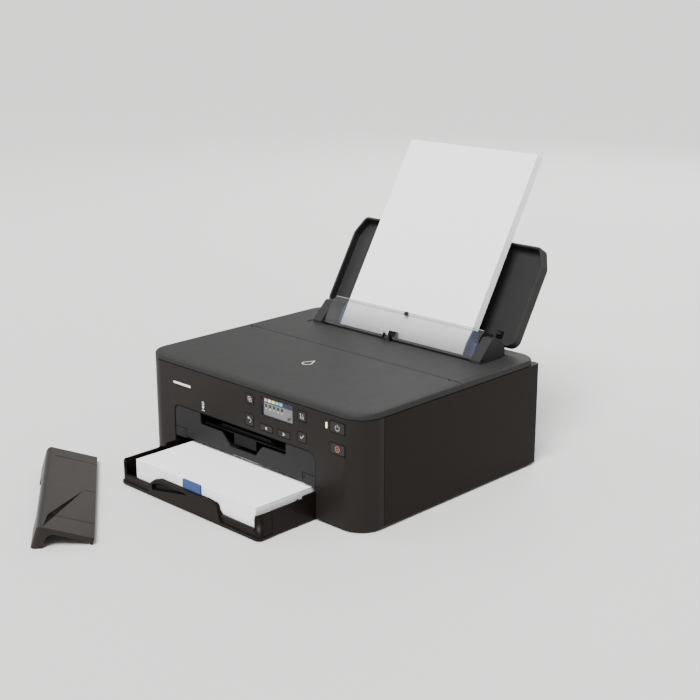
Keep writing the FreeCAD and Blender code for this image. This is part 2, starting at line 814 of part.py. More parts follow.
def feed_slot_cover():
    """The clear curved flap in front of the rear stack, on two pins in the slot's cheeks."""
    left = feed_centre - feed_cover_half
    right = feed_centre + feed_cover_half
    thick = feed_cover_thick
    high = feed_cover_height
    foot, belly, head = -7.4, -9.0, -4.2
    outer = Part.Arc(Vector(left, foot, 1), Vector(left, belly, high / 2), Vector(left, head, high))
    inner = Part.Arc(Vector(left, head + thick, high), Vector(left, belly + thick, high / 2),
                     Vector(left, foot + thick, 1))
    lip = Part.LineSegment(Vector(left, head, high), Vector(left, head + thick, high))
    heel = Part.LineSegment(Vector(left, foot + thick, 1), Vector(left, foot, 1))
    wire = Part.Wire([outer.toShape(), lip.toShape(), inner.toShape(), heel.toShape()])
    sheet = Part.Face(wire).extrude(Vector(right - left, 0, 0))
    part = joined(sheet, rod("x", pivot_pin, left - 6, right + 6, -6.5, 1.0))
    part = part.cut(box(-6, 9, -12, 0, 3, 10))
    return leaning(part)


def rear_guide(side):
    """One of the two blue side guides at the edges of the rear stack."""
    edge = feed_centre + side * (sheet_width / 2 + play)
    x0, x1 = sorted((edge, edge + side * 2.5))
    blade = profile([(-1.5, 4, 2), (12.0, 4, 0), (12.0, 38, 3), (1.0, 38, 5), (-3.0, 20, 8)], x0, x1)
    f0, f1 = sorted((edge, edge + side * 9))
    foot = box(f0, f1, 9.5, 12.0, 4, 24)
    return leaning(joined(blade, foot))


def support_outline(inset):
    """The flap's outline across and up its face, tapered towards its top corners."""
    left, right = support_left + inset, support_right - inset
    low, high = support_low + inset, support_high - inset
    return [
        (left, low, 12 - inset),
        (right, low, 12 - inset),
        (right, support_kink, 14),
        (right - support_taper, high, 8 - inset),
        (left + support_taper, high, 8 - inset),
        (left, support_kink, 14),
    ]


def paper_support():
    """The rear flap turned up behind the stack: a rimmed panel with a raised middle for the sheets."""
    front = support_front
    back = front + support_rim + support_thick
    part = panel(support_outline(0), front, back)
    part = part.cut(panel(support_outline(support_wall), front - 1, back - support_thick))
    half = sheet_width / 2 - 13.0
    rest = rear_stack + 0.4
    pad_area = (feed_centre - half, support_low - 2, feed_centre + half, support_high - 8)
    pad = panel(rectangle(*pad_area, 4), rest, back)
    hollow = panel(rectangle(*grown(pad_area, -2), 2), rest + 2, back + 1)
    return leaning(joined(part.cut(hollow), pad.cut(hollow)))


# --- mechanism ---
def chassis_frame():
    """The bent steel frame: two side plates, a floor plate and a front beam."""
    half = frame_half
    thick = sheet_metal
    low = bay()[3] + 2.3
    sides = []
    for side in (-1, 1):
        x0, x1 = sorted((side * half, side * (half + thick)))
        plate = profile([(frame_front, low, 0), (frame_back, low, 0), (frame_back, rail_top - 24.5, 8),
                         (frame_back - 38, rail_top, 8), (frame_front + 40, rail_top, 8),
                         (frame_front, rail_top - 20.5, 8)], x0, x1)
        plate = plate.cut(rod("x", roller_shaft + running, x0 - 1, x1 + 1, feed_roller_y, feed_roller_z))
        plate = plate.cut(rod("x", roller_shaft + running, x0 - 1, x1 + 1, eject_roller_y, eject_roller_z))
        sides.append(plate)
    shaft_hole = rod("x", pulley_shaft + 1, -half - thick - 1, -half + 1, feed_motor_y, feed_motor_z)
    sides[0] = sides[0].cut(shaft_hole)
    floor = box(-half, half, frame_front, frame_back, low, low + thick)
    x0, y0, x1, y1 = pickup_window()
    floor = floor.cut(box(x0 - 6, x1 + 6, y0 - 3, y1 + 3, 0, crown))
    beam = box(-half, half, frame_front, frame_front + thick, rail_top - 40.5, rail_top - 20.5)
    return joined(floor, beam, *sides)


def carriage_rail():
    """The steel rail across the frame, with the idler pulley's pin."""
    web = box(-frame_half, frame_half, rail_y, rail_y + rail_thick, carriage_low + 4.5, rail_top)
    web = web.cut(rod("y", pulley_shaft + 1, rail_y - 1, rail_y + 3, pulley_x, pulley_z))
    pin = rod("y", pulley_shaft, belt_y - 1.5, rail_y + 0.5, -pulley_x, pulley_z)
    return joined(web, pin)


def carriage_belt():
    circles = [(-pulley_x, pulley_z, pulley_radius), (pulley_x, pulley_z, pulley_radius)]
    return belt_loop(circles, belt_thick, lambda p: Vector(p.x, belt_y, p.y), Vector(0, belt_width, 0))


def carriage_motor_pulley():
    wheel = rod("y", pulley_radius, belt_y, belt_y + belt_width, pulley_x, pulley_z)
    shaft = rod("y", pulley_shaft, belt_y - 1, rail_y + 10, pulley_x, pulley_z)
    return joined(wheel, shaft)


def idler_pulley():
    wheel = rod("y", pulley_radius, belt_y, belt_y + belt_width, -pulley_x, pulley_z)
    bore = rod("y", pulley_shaft + running, belt_y - 1, belt_y + belt_width + 1, -pulley_x, pulley_z)
    return wheel.cut(bore)


def drive_motors():
    """The carriage motor behind the rail and the feed motor inside the left side plate."""
    start = rail_y + rail_thick
    carriage = rod("y", motor_radius, start, start + motor_length, pulley_x, pulley_z)
    carriage = carriage.cut(rod("y", pulley_shaft + running, start - 1, start + 12, pulley_x, pulley_z))
    left = -frame_half
    feed = rod("x", motor_radius, left, left + motor_length, feed_motor_y, feed_motor_z)
    feed = feed.cut(rod("x", pulley_shaft + running, left - 1, left + 12, feed_motor_y, feed_motor_z))
    return Part.makeCompound([carriage, feed])


def drive_side():
    """The x range of the feed belt and its pulleys, outside the left side plate."""
    x1 = -frame_half - sheet_metal - 1.0
    return x1 - 6.0, x1


def feed_belt():
    x0, x1 = drive_side()
    circles = [
        (eject_roller_y, eject_roller_z, eject_pulley_radius),
        (feed_motor_y, feed_motor_z, motor_pulley_radius),
        (feed_roller_y, feed_roller_z, feed_pulley_radius),
    ]
    return belt_loop(circles, belt_thick, lambda p: Vector(x0 + 0.5, p.x, p.y), Vector(x1 - x0 - 1, 0, 0))


def feed_roller():
    x0, x1 = drive_side()
    shaft = rod("x", roller_shaft, x0 - 1, frame_half + sheet_metal + 2, feed_roller_y, feed_roller_z)
    body = rod("x", feed_roller_radius, -frame_half + 3, frame_half - 3, feed_roller_y, feed_roller_z)
    wheel = rod("x", feed_pulley_radius, x0, x1, feed_roller_y, feed_roller_z)
    return joined(shaft, body, wheel)


def eject_roller():
    x0, x1 = drive_side()
    part = rod("x", roller_shaft, x0 - 1, frame_half + sheet_metal + 2, eject_roller_y, eject_roller_z)
    part = joined(part, rod("x", eject_pulley_radius, x0, x1, eject_roller_y, eject_roller_z))
    for i in range(8):
        x = feed_centre - 98 + i * 28
        part = joined(part, rod("x", eject_roller_radius, x - 6, x + 6, eject_roller_y, eject_roller_z))
    return part


def feed_motor_pulley():
    x0, x1 = drive_side()
    wheel = rod("x", motor_pulley_radius, x0, x1, feed_motor_y, feed_motor_z)
    return joined(wheel, rod("x", pulley_shaft, x0 - 1, -frame_half + 10, feed_motor_y, feed_motor_z))


def platen():
    """The ribbed platen under the print line, and the two rails that guide the output tray."""
    low = bay()[3] + 2.3 + sheet_metal
    x0, x1 = tray_sides()
    y0 = eject_roller_y + 7
    y1 = feed_roller_y - 8
    left, right = feed_centre - 128, purge_x - 22
    plate = box(left, right, y0, y1, platen_top - 3.5, platen_top - 1)
    parts = [plate]
    for i in range(18):
        x = left + 8 + i * (right - left - 16) / 17
        parts.append(box(x - 0.8, x + 0.8, y0 + 2, y1 - 2, platen_top - 2, platen_top))
    rail_front = tray_front() + 5.0
    rail_back = tray_front() + output_tray_depth + 3.0
    for side, edge in ((-1, x0), (1, x1)):
        wall0, wall1 = sorted((edge + side * 0.6, edge + side * 3.6))
        foot0, foot1 = sorted((edge - side * 3.0, edge + side * 3.6))
        parts.append(box(wall0, wall1, rail_front, rail_back, low, slot_floor + 4.5))
        parts.append(box(foot0, foot1, rail_front, rail_back, slot_floor - 2, slot_floor + 1))
        parts.append(box(wall0, wall1, y0, y1, low, platen_top - 2))
    return joined(*parts)


def encoder_strip():
    return box(-frame_half, frame_half, carriage_back + 1.2, carriage_back + 1.5,
               carriage_high - 4, carriage_high + 2)


def purge_unit():
    """The service station under the carriage's home, with its cap and wiper."""
    low = bay()[3] + 2.3 + sheet_metal
    y0 = carriage_front + 2
    tub = box(purge_x - 19, purge_x + 19, y0, y0 + 46, low, platen_top - 6)
    tub = tub.cut(box(purge_x - 17, purge_x + 17, y0 + 2, y0 + 44, low + 4, platen_top))
    cap = box(purge_x - 14, purge_x + 14, y0 + 8, y0 + 36, low + 2, platen_top)
    cap = cap.cut(box(purge_x - 12, purge_x + 12, y0 + 10, y0 + 34, platen_top - 4, platen_top + 1))
    wiper = box(purge_x - 5, purge_x + 9, y0 + 40, y0 + 41.2, low + 2, platen_top + 0.8)
    return joined(tub, cap, wiper)


def tank_bays():
    """The x ranges of the five ink tanks, the wide one first."""
    left = carriage_home - carriage_width / 2 + 3.5
    ranges = [(left, left + 24.0)]
    for i in range(4):
        x = left + 25.2 + i * 13.0
        ranges.append((x, x + 12.0))
    return ranges


def carriage_body():
    """The print carriage: an open box for the tanks with a belt clamp and a shoe hooked over the rail."""
    x0 = carriage_home - carriage_width / 2
    x1 = carriage_home + carriage_width / 2
    part = box(x0, x1, carriage_front, carriage_back, carriage_low + 4, carriage_high)
    part = part.cut(box(x0 + 2.5, x1 - 2.5, carriage_front + 2.5, carriage_back - 2.5,
                        tank_seat, carriage_high + 1))
    head = box(x0 + 45, x1 - 8, carriage_front + 14, carriage_back - 18, carriage_low, carriage_low + 5)
    grip = box(x0 + 4, x1 - 4, carriage_front - 3, carriage_front + 1, carriage_high - 12, carriage_high - 8)
    clamp_z = pulley_z + pulley_radius + play
    clamp = box(carriage_home - 8, carriage_home + 8, carriage_back - 1, rail_y - 0.6,
                clamp_z - 4, clamp_z + 5)
    belt_room = (belt_y - play, belt_y + belt_width + play)
    clamp = clamp.cut(box(x0, x1, *belt_room, clamp_z - play, clamp_z + belt_thick + play))
    clamp = clamp.cut(box(x0, x1, *belt_room, 0, clamp_z - play))
    clamp = clamp.cut(box(x0, x1, carriage_back + 0.8, carriage_back + 1.9,
                          carriage_high - 5, carriage_high + 3))
    near, far = carriage_home - 28, carriage_home + 28
    above = rail_top + 2.6
    neck = box(near, far, carriage_back - 3, carriage_back - 0.5, carriage_high - 2, above)
    shoe = box(near, far, carriage_back - 3, rail_y + 4.6, rail_top + 0.4, above)
    hook = box(near, far, rail_y + 2.0, rail_y + 4.6, rail_top - 5, above)
    return joined(part, head, grip, clamp, neck, shoe, hook)


def ink_tank(x0, x1):
    y0, y1 = carriage_front + 3.0, carriage_back - 3.2
    low, shelf, top = tank_seat + 0.2, carriage_high + 1.5, carriage_high + 4.0
    return profile([(y0, low, 1), (y1, low, 1), (y1, shelf, 2), (y0 + 14, shelf, 2), (y0 + 6, top, 2),
                    (y0, top, 1.5)], x0, x1)


def ink_tanks():
    return Part.makeCompound([ink_tank(a, b) for a, b in tank_bays()])


# --- electrics ---
def main_board():
    x = frame_half + sheet_metal + 4
    top = crown - 27.0
    board = box(x, x + 1.6, -60, 96, 30, top)
    chips = [box(x + 1, x + 4, y, y + side, top - drop, top - drop + side)
             for y, drop, side in ((-30, 52, 24), (20, 62, 18), (50, 32, 14))]
    sockets = [box(x + 1, x + 8, y, y + 16, top - 14, top - 6) for y in (-50, -25, 0, 25, 50)]
    return joined(board, *chips, *sockets)


def power_supply():
    """The supply behind the cassette's bay, which the mains inlet plugs into."""
    return box(inlet[0] - 8, usb[0] - 5, bay()[2] + 8, half_depth - wall - 12,
               base_height + wall + 6, base_height + 45)


def power_inlet():
    """The two-pin mains inlet in the rear wall."""
    x0, z0, x1, z1 = inlet
    body = panel(rectangle(x0, z0, x1, z1, 1.5), half_depth - wall - 12, half_depth - 0.2)
    middle = (z0 + z1) / 2
    mouth = panel(rectangle(x0 + 3.5, middle - 4, x1 - 3.5, middle + 4, 3.9), half_depth - 11, half_depth + 1)
    pins = [rod("y", 1.1, half_depth - 11.5, half_depth - 2.5, (x0 + x1) / 2 + side * 4.3, middle)
            for side in (-1, 1)]
    return joined(body.cut(mouth), *pins)


def usb_socket():
    x0, z0, x1, z1 = usb
    body = panel(rectangle(x0, z0, x1, z1, 0.5), half_depth - wall - 14, half_depth - 0.4)
    return body.cut(panel(rectangle(*grown(usb, -1.8), 1), half_depth - 13, half_depth + 1))


def screws():
    made = []
    for x, z in rear_screw_places():
        head = rod("y", 2.8, half_depth - 1.4, half_depth - 0.3, x, z)
        shank = rod("y", 1.25, half_depth - 10, half_depth - 1.0, x, z)
        drive = joined(box(x - 1.6, x + 1.6, half_depth - 1.0, half_depth, z - 0.35, z + 0.35),
                       box(x - 0.35, x + 0.35, half_depth - 1.0, half_depth, z - 1.6, z + 1.6))
        made.append(joined(head, shank).cut(drive))
    return Part.makeCompound(made)


# --- loose cassette cover ---
def cassette_cover():
    """The dust cover for the cassette, standing on its deep front wall and two small rear feet."""
    length, depth, drop, t = cover_length, cover_depth, cover_drop, cover_wall
    outer = box(0, length, 0, depth, -drop, 0)
    edges = [e for e in outer.Edges
             if (abs(e.BoundBox.YMin - depth) < 1e-6 and abs(e.BoundBox.YMax - depth) < 1e-6
                 and (e.BoundBox.ZLength > 1 or abs(e.BoundBox.ZMin) < 1e-6))]
    outer = outer.makeFillet(6.0, edges)
    part = outer.cut(box(t, length - t, -1, depth - t - 1.0, -drop - 1, -t))
    reach = depth - cover_leg
    for a, b in ((-1, t + 0.1), (length - t - 0.1, length + 1)):
        shape = [(-1, -cover_foot, 0), (3, -cover_foot, 0), (3, -cover_lip, 0.5), (reach, -cover_lip, 9),
                 (reach, -drop - 1, 0), (-1, -drop - 1, 0)]
        part = part.cut(profile(shape, a, b))
    cut_low, cut_high = -drop - 1, -drop + 13
    part = part.cut(panel([(56, cut_low, 0), (60, cut_high, 6), (180, cut_high, 6), (184, cut_low, 0)],
                          depth - t - 8, depth + 1))
    part = part.cut(profile([(-1, -cover_foot, 0), (0, -cover_foot, 0), (depth, -drop, 0),
                             (depth + 1, -drop, 0), (depth + 1, -drop - 5, 0), (-1, -drop - 5, 0)],
                            -1, length + 1))
    for x, end in ((38.0, depth - 11), (length - 27.0, depth - 11), (length - 117.0, 14.0)):
        part = part.cut(box(x - 0.4, x + 0.4, 1, end, -0.5, 1))
    part = part.cut(box(length / 2 - 7, length / 2 + 7, depth - 0.5, depth + 1, -12.5, -11.7))
    tilt = math.degrees(math.atan2(drop - cover_foot, depth))
    part.rotate(Vector(0, 0, 0), Vector(1, 0, 0), tilt)
    part.rotate(Vector(0, 0, 0), Vector(0, 0, 1), cover_turn)
    rise = cover_foot * math.cos(math.radians(tilt))
    part.translate(Vector(cover_corner[0], cover_corner[1], rise))
    return part


def build():
    ring = casing()
    dish = top_slab()
    nodes = {
        "bottom_case": bottom_case(),
        "front_fascia": front_fascia(ring),
        "left_side_cover": side_cover(ring, -1),
        "right_side_cover": side_cover(ring, 1),
        "rear_cover": rear_cover(ring),
        "rear_access_cover": rear_access_cover(),
        "top_cover": top_cover(dish),
        "rear_top_cover": rear_top_cover(dish),
        "feet": feet(),
        "panel_board": panel_board(),
        "lcd_window": lcd_window(),
        "lcd_module": lcd_module(),
        "led_lens": led_lens(),
        "output_door": output_door(),
        "door_inserts": door_inserts(),
        "output_tray": output_tray(),
        "output_extension": output_extension(),
        "cassette_tray": cassette_tray(),
        "cassette_front": cassette_front_section(),
        "cassette_paper": cassette_paper(),
        "length_stop": length_stop(),
        "cassette_guide_left": cassette_guide(-1),
        "cassette_guide_right": cassette_guide(1),
        "cassette_pickup_roller": cassette_pickup_roller(),
        "rear_paper": rear_paper(),
        "rear_tray_base": rear_tray_base(),
        "rear_pickup_roller": rear_pickup_roller(),
        "feed_slot_cover": feed_slot_cover(),
        "rear_guide_left": rear_guide(-1),
        "rear_guide_right": rear_guide(1),
        "paper_support": paper_support(),
        "chassis_frame": chassis_frame(),
        "carriage_rail": carriage_rail(),
        "carriage_belt": carriage_belt(),
        "carriage_motor_pulley": carriage_motor_pulley(),
        "idler_pulley": idler_pulley(),
        "drive_motors": drive_motors(),
        "feed_belt": feed_belt(),
        "feed_roller": feed_roller(),
        "eject_roller": eject_roller(),
        "feed_motor_pulley": feed_motor_pulley(),
        "platen": platen(),
        "encoder_strip": encoder_strip(),
        "purge_unit": purge_unit(),
        "carriage_body": carriage_body(),
        "ink_tanks": ink_tanks(),
        "main_board": main_board(),
        "power_supply": power_supply(),
        "power_inlet": power_inlet(),
        "usb_socket": usb_socket(),
        "screws": screws(),
        "cassette_cover": cassette_cover(),
    }
    for name, area in keys.items():
        nodes[name] = key(area)
    return nodes


def to_box_centre(nodes):
    """Moves every node so that the whole object's box has its bottom centre at the origin."""
    whole = FreeCAD.BoundBox()
    for shape in nodes.values():
        whole.add(shape.optimalBoundingBox())
    shift = Vector(-whole.Center.x, -whole.Center.y, -whole.ZMin)
    for shape in nodes.values():
        shape.translate(shift)
    return shift


def main():
    nodes = build()
    shift = to_box_centre(nodes)
    print("moved by", round(shift.x, 4), round(shift.y, 4), round(shift.z, 4))
    os.makedirs("parts", exist_ok=True)
    for name, shape in nodes.items():
        shape.exportStep(os.path.join("parts", name + ".step"))
    print(len(nodes), "nodes")


main()
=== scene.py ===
import bmesh
import bpy
import json
import math
import random
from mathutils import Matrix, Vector


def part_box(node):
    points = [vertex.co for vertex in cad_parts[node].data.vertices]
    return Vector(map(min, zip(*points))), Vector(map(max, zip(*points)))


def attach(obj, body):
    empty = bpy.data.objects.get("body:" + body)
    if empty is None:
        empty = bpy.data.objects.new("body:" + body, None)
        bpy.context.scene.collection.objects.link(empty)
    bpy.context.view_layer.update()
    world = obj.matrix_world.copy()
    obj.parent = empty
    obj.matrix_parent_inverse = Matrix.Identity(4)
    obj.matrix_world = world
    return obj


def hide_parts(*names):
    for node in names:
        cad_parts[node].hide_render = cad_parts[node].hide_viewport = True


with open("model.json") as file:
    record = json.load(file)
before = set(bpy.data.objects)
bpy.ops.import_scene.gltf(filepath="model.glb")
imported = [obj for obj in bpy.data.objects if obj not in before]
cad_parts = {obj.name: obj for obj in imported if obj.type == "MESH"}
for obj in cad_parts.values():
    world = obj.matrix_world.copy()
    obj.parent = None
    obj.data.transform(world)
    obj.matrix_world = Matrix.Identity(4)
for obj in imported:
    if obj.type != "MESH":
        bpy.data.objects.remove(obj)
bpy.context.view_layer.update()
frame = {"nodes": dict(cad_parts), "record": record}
mm = 0.001
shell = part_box("front_fascia")
centreX = (shell[0].x + shell[1].x) / 2
frontY = shell[0].y
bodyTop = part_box("top_cover")[1].z
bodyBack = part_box("rear_cover")[1].y


def at(right, back, up):
    # a point in millimetres from the foot of the front face's middle
    return Vector((centreX + right * mm, frontY + back * mm, up * mm))


class Wire:
    # one output of a node, so that plain sums can be written on it
    def __init__(self, finish, socket):
        self.finish = finish
        self.socket = socket

    def maths(self, operation, first, second):
        return self.finish.node("ShaderNodeMath", {"operation": operation}, {0: first, 1: second})

    def __add__(self, other):
        return self.maths("ADD", self, other)

    def __radd__(self, other):
        return self.maths("ADD", other, self)

    def __sub__(self, other):
        return self.maths("SUBTRACT", self, other)

    def __rsub__(self, other):
        return self.maths("SUBTRACT", other, self)

    def __mul__(self, other):
        return self.maths("MULTIPLY", self, other)

    def __rmul__(self, other):
        return self.maths("MULTIPLY", other, self)

    def __pow__(self, other):
        return self.maths("POWER", self, other)

    def __rpow__(self, other):
        return self.maths("POWER", other, self)


class Finish:
    # one procedural material and the nodes it is made from
    def __init__(self, name, **shader):
        self.material = bpy.data.materials.new(name)
        self.material.use_nodes = True
        self.tree = self.material.node_tree
        self.shader = self.tree.nodes["Principled BSDF"]
        for socket, value in shader.items():
            self.shader.inputs[socket.replace("_", " ")].default_value = value
        self.place = self.node("ShaderNodeTexCoord", output="Object")

    def node(self, kind, settings=None, sockets=None, output=0):
        made = self.tree.nodes.new(kind)
        for key, value in (settings or {}).items():
            setattr(made, key, value)
        for key, value in (sockets or {}).items():
            if isinstance(value, Wire):
                self.tree.links.new(value.socket, made.inputs[key])
            else:
                made.inputs[key].default_value = value
        return Wire(self, made.outputs[output])

    def noise(self, size, detail, stretch=(1, 1, 1)):
        # size is the width of one blotch in millimetres
        place = self.node("ShaderNodeMapping", None, {"Vector": self.place, "Scale": stretch})
        return self.node("ShaderNodeTexNoise", None,
                         {"Vector": place, "Scale": 1 / (size * mm), "Detail": detail}, "Fac")

    def ramp(self, value, low, high):
        # spreads low..high over 0..1
        return self.node("ShaderNodeMapRange", {"clamp": True},
                         {"Value": value, "From Min": low, "From Max": high})

    def blend(self, amount, first, second):
        # one colour over another; 6 and 7 are the colour sockets of a Mix node
        under, over = [c if isinstance(c, Wire) else (*c, 1) for c in (first, second)]
        return self.node("ShaderNodeMix", {"data_type": "RGBA"}, {0: amount, 6: under, 7: over}, 2)

    def feed(self, socket, wire):
        self.tree.links.new(wire.socket, self.shader.inputs[socket])

    def bump(self, height, distance, strength):
        # distance in millimetres
        self.feed("Normal", self.node("ShaderNodeBump", None, {
            "Height": height, "Distance": distance * mm, "Strength": strength}, "Normal"))


def scaled(colour, factor):
    return tuple(min(c * factor, 1.0) for c in colour)


def mouldedPlastic(name, colour, roughness=0.5, grain=0.35, depth=0.008, mottle=0.03, dust=0.0,
                   specular=0.12):
    # spark-eroded plastic: fine grain, faint flow marks, a trace of dust on what faces up
    finish = Finish(name, IOR=1.49, Specular_IOR_Level=specular)
    flow = finish.noise(45, 3, (1, 1, 0.4))
    speck = finish.noise(grain, 2)
    smear = finish.noise(9, 4, (1, 0.3, 1))
    base = finish.blend(finish.ramp(flow, 0.3, 0.7),
                        scaled(colour, 1 - mottle), scaled(colour, 1 + mottle))
    tone = finish.blend(finish.ramp(speck, 0.35, 0.65) * 0.35, base, scaled(colour, 1.25))
    if dust > 0:
        facing = finish.node("ShaderNodeSeparateXYZ", None,
                             {0: finish.node("ShaderNodeNewGeometry", output="Normal")}, "Z")
        motes = finish.ramp(finish.noise(1.1, 1), 0.62, 0.74) * finish.ramp(facing, 0.6, 0.95)
        tone = finish.blend(motes * dust, tone, (0.45, 0.44, 0.42))
    finish.feed("Base Color", tone)
    finish.feed("Roughness", roughness - 0.03 + finish.ramp(smear, 0.3, 0.75) * 0.03 + speck * 0.04)
    finish.bump(speck + flow * 0.1, depth, 0.8)
    return finish.material


def clearPlastic(name, colour, alpha, roughness=0.12, edge=0.5, footShade=0.0, foot=0.0, head=1.0):
    # footShade adds painted shade to the tint, most at the height foot and none from the height head up, in
    # metres
    finish = Finish(name, IOR=1.5, Specular_IOR_Level=0.3)
    haze = finish.noise(30, 3)
    scuff = finish.noise(3, 5, (1, 0.08, 1))
    rim = finish.node("ShaderNodeLayerWeight", None, {"Blend": 0.35}, "Facing")
    tone = finish.blend(finish.ramp(haze, 0.3, 0.7), scaled(colour, 0.92), scaled(colour, 1.08))
    finish.feed("Base Color", tone)
    tint = alpha - 0.03 + haze * 0.06 + (rim ** 2.5) * edge
    if footShade > 0:
        height = finish.node("ShaderNodeSeparateXYZ", None, {0: finish.place}, "Z")
        tint = tint + (1 - finish.ramp(height, foot, head)) * footShade
    finish.feed("Alpha", tint)
    finish.feed("Roughness", roughness + finish.ramp(scuff, 0.55, 0.8) * 0.15)
    finish.bump(haze + scuff * 0.2, 0.02, 0.5)
    return finish.material


def officePaper(name, colour):
    # fibre mottle and faint clouds
    finish = Finish(name, Roughness=0.9, Specular_IOR_Level=0.2)
    cloud = finish.noise(14, 4)
    fibre = finish.noise(0.5, 4)
    finish.feed("Base Color", finish.blend(cloud * 0.5 + fibre * 0.3,
                                           scaled(colour, 0.975), scaled(colour, 1.02)))
    finish.bump(fibre + cloud, 0.03, 0.5)
    return finish.material


def plateSteel(name, colour, roughness=0.35, grain=(1, 1, 0.05)):
    # rolled and plated sheet with a directional sheen and small spangles
    finish = Finish(name)
    drawn = finish.noise(1.2, 3, grain)
    spangle = finish.noise(7, 2)
    finish.feed("Metallic", 1.0 - finish.ramp(finish.noise(3, 3), 0.72, 0.8) * 0.3)
    finish.feed("Base Color", finish.blend(finish.ramp(spangle, 0.35, 0.65),
                                           scaled(colour, 0.85), scaled(colour, 1.1)))
    finish.feed("Roughness", roughness - 0.08 + drawn * 0.16 + spangle * 0.08)
    finish.bump(drawn, 0.01, 0.6)
    return finish.material


def softRubber(name, colour, roughness=0.75):
    # matt rubber with a pale bloom
    finish = Finish(name, Specular_IOR_Level=0.35)
    bloom = finish.noise(11, 3)
    speck = finish.noise(0.5, 2)
    finish.feed("Base Color", finish.blend(finish.ramp(bloom, 0.3, 0.8), colour, scaled(colour, 1.5)))
    finish.feed("Roughness", roughness + bloom * 0.12)
    finish.bump(speck, 0.03, 0.8)
    return finish.material


def circuitBoard(name):
    # solder mask with tracks, pads and a light weave from the laminate
    finish = Finish(name, Coat_Weight=0.2, Coat_Roughness=0.2)
    tracks = finish.node("ShaderNodeTexBrick", {"offset": 0.5}, {
        "Vector": finish.place, "Scale": 160.0, "Mortar Size": 0.04,
        "Color1": (0.02, 0.11, 0.05, 1), "Color2": (0.015, 0.085, 0.04, 1), "Mortar": (0.05, 0.22, 0.1, 1),
    }, "Color")
    pads = finish.node("ShaderNodeTexVoronoi", None, {"Vector": finish.place, "Scale": 330.0}, "Distance")
    pad = 1 - finish.ramp(pads, 0.1, 0.16)
    finish.feed("Base Color", finish.blend(pad * 0.8, tracks, (0.62, 0.6, 0.5)))
    finish.feed("Metallic", pad * 0.7)
    finish.feed("Roughness", 0.32 + finish.noise(8, 2) * 0.12)
    finish.bump(pad, 0.05, 0.7)
    return finish.material


def litColour(name, colour, glow):
    # a lit area, a little uneven
    finish = Finish(name, Roughness=0.3, Emission_Strength=glow)
    cell = finish.noise(0.8, 1)
    tone = finish.blend(cell, scaled(colour, 0.85), scaled(colour, 1.1))
    finish.feed("Base Color", tone)
    finish.feed("Emission Color", tone)
    return finish.material


def printedInk(name, colour):
    # a printed mark, thinner where it is worn
    finish = Finish(name, Roughness=0.45)
    wear = finish.noise(1.5, 3)
    worn = finish.ramp(wear, 0.3, 0.9) * 0.25
    finish.feed("Base Color", finish.blend(worn, colour, scaled(colour, 0.55)))
    finish.bump(wear, 0.01, 0.4)
    return finish.material


plastics = {
    "topGrey": dict(name="lid_charcoal_grain", colour=(0.0205, 0.0205, 0.0203), roughness=0.55, grain=0.4,
                    depth=0.005, mottle=0.02, dust=0.05, specular=0.1),
    "fascia": dict(name="fascia_warm_black", colour=(0.0112, 0.0092, 0.0084), roughness=0.46, grain=0.4,
                   depth=0.006),
    "side": dict(name="side_umber_black", colour=(0.0080, 0.0058, 0.0047), roughness=0.52, grain=0.5,
                 mottle=0.04, specular=0.09),
    "door": dict(name="door_graphite", colour=(0.0140, 0.0139, 0.0139), grain=0.4),
    "keys": dict(name="key_warm_black", colour=(0.0150, 0.0128, 0.0120), roughness=0.42, grain=0.3,
                 depth=0.005, specular=0.2),
    "cassette": dict(name="cassette_satin", colour=(0.0060, 0.0042, 0.0032), roughness=0.38, depth=0.006,
                     mottle=0.05, specular=0.1),
    # near black: the inner parts' own black, made darker still as painted shade of the slot's inside; the
    # painted-shade strips, floors and backing wear it too
    "inner": dict(name="inner_black_and_painted_shade", colour=(0.0028, 0.0028, 0.0029), roughness=0.45, grain=0.4,
                  mottle=0.06, specular=0.1),
    "case": dict(name="base_black", colour=(0.0085, 0.0074, 0.0067), roughness=0.55, grain=0.6,
                 depth=0.015, mottle=0.06),
    "support": dict(name="support_charcoal", colour=(0.0200, 0.0197, 0.0196), grain=0.45, mottle=0.04,
                    dust=0.05),
    "cover": dict(name="loose_cover_brown_grey", colour=(0.0155, 0.0128, 0.0110), roughness=0.42, grain=0.4,
                  depth=0.006, dust=0.05, specular=0.15),
    "blue": dict(name="guide_cornflower", colour=(0.026, 0.058, 0.165), roughness=0.38, grain=0.3,
                 depth=0.005, mottle=0.05, specular=0.25),
    "nylon": dict(name="natural_nylon", colour=(0.62, 0.61, 0.56), roughness=0.45, grain=0.4, depth=0.01,
                  mottle=0.05, specular=0.4),
    "tank": dict(name="tank_gloss_black", colour=(0.012, 0.012, 0.014), roughness=0.22, grain=0.3,
                 depth=0.004, mottle=0.08, specular=0.5),
}
clears = {
    "blueClear": dict(name="guide_blue_translucent", colour=(0.022, 0.05, 0.16), alpha=0.8, roughness=0.25,
                      edge=0.15),
    # the flap's tint thickens towards its foot: painted shade of the paper's shadow behind it
    "flap": dict(name="smoky_clear_flap", colour=(0.085, 0.086, 0.088), alpha=0.14, roughness=0.2, edge=0.3,
                 footShade=0.22, foot=bodyTop, head=bodyTop + 28 * mm),
    # a light grey strip on the flap's top edge: painted highlight
    "flapEdge": dict(name="flap_edge_painted_highlight", colour=(0.42, 0.425, 0.43), alpha=0.45, roughness=0.3,
                     edge=0.2),
    "window": dict(name="display_window", colour=(0.05, 0.05, 0.055), alpha=0.1, roughness=0.08, edge=0.3),
    "film": dict(name="encoder_film", colour=(0.5, 0.5, 0.5), alpha=0.35, roughness=0.1, edge=0.2),
}
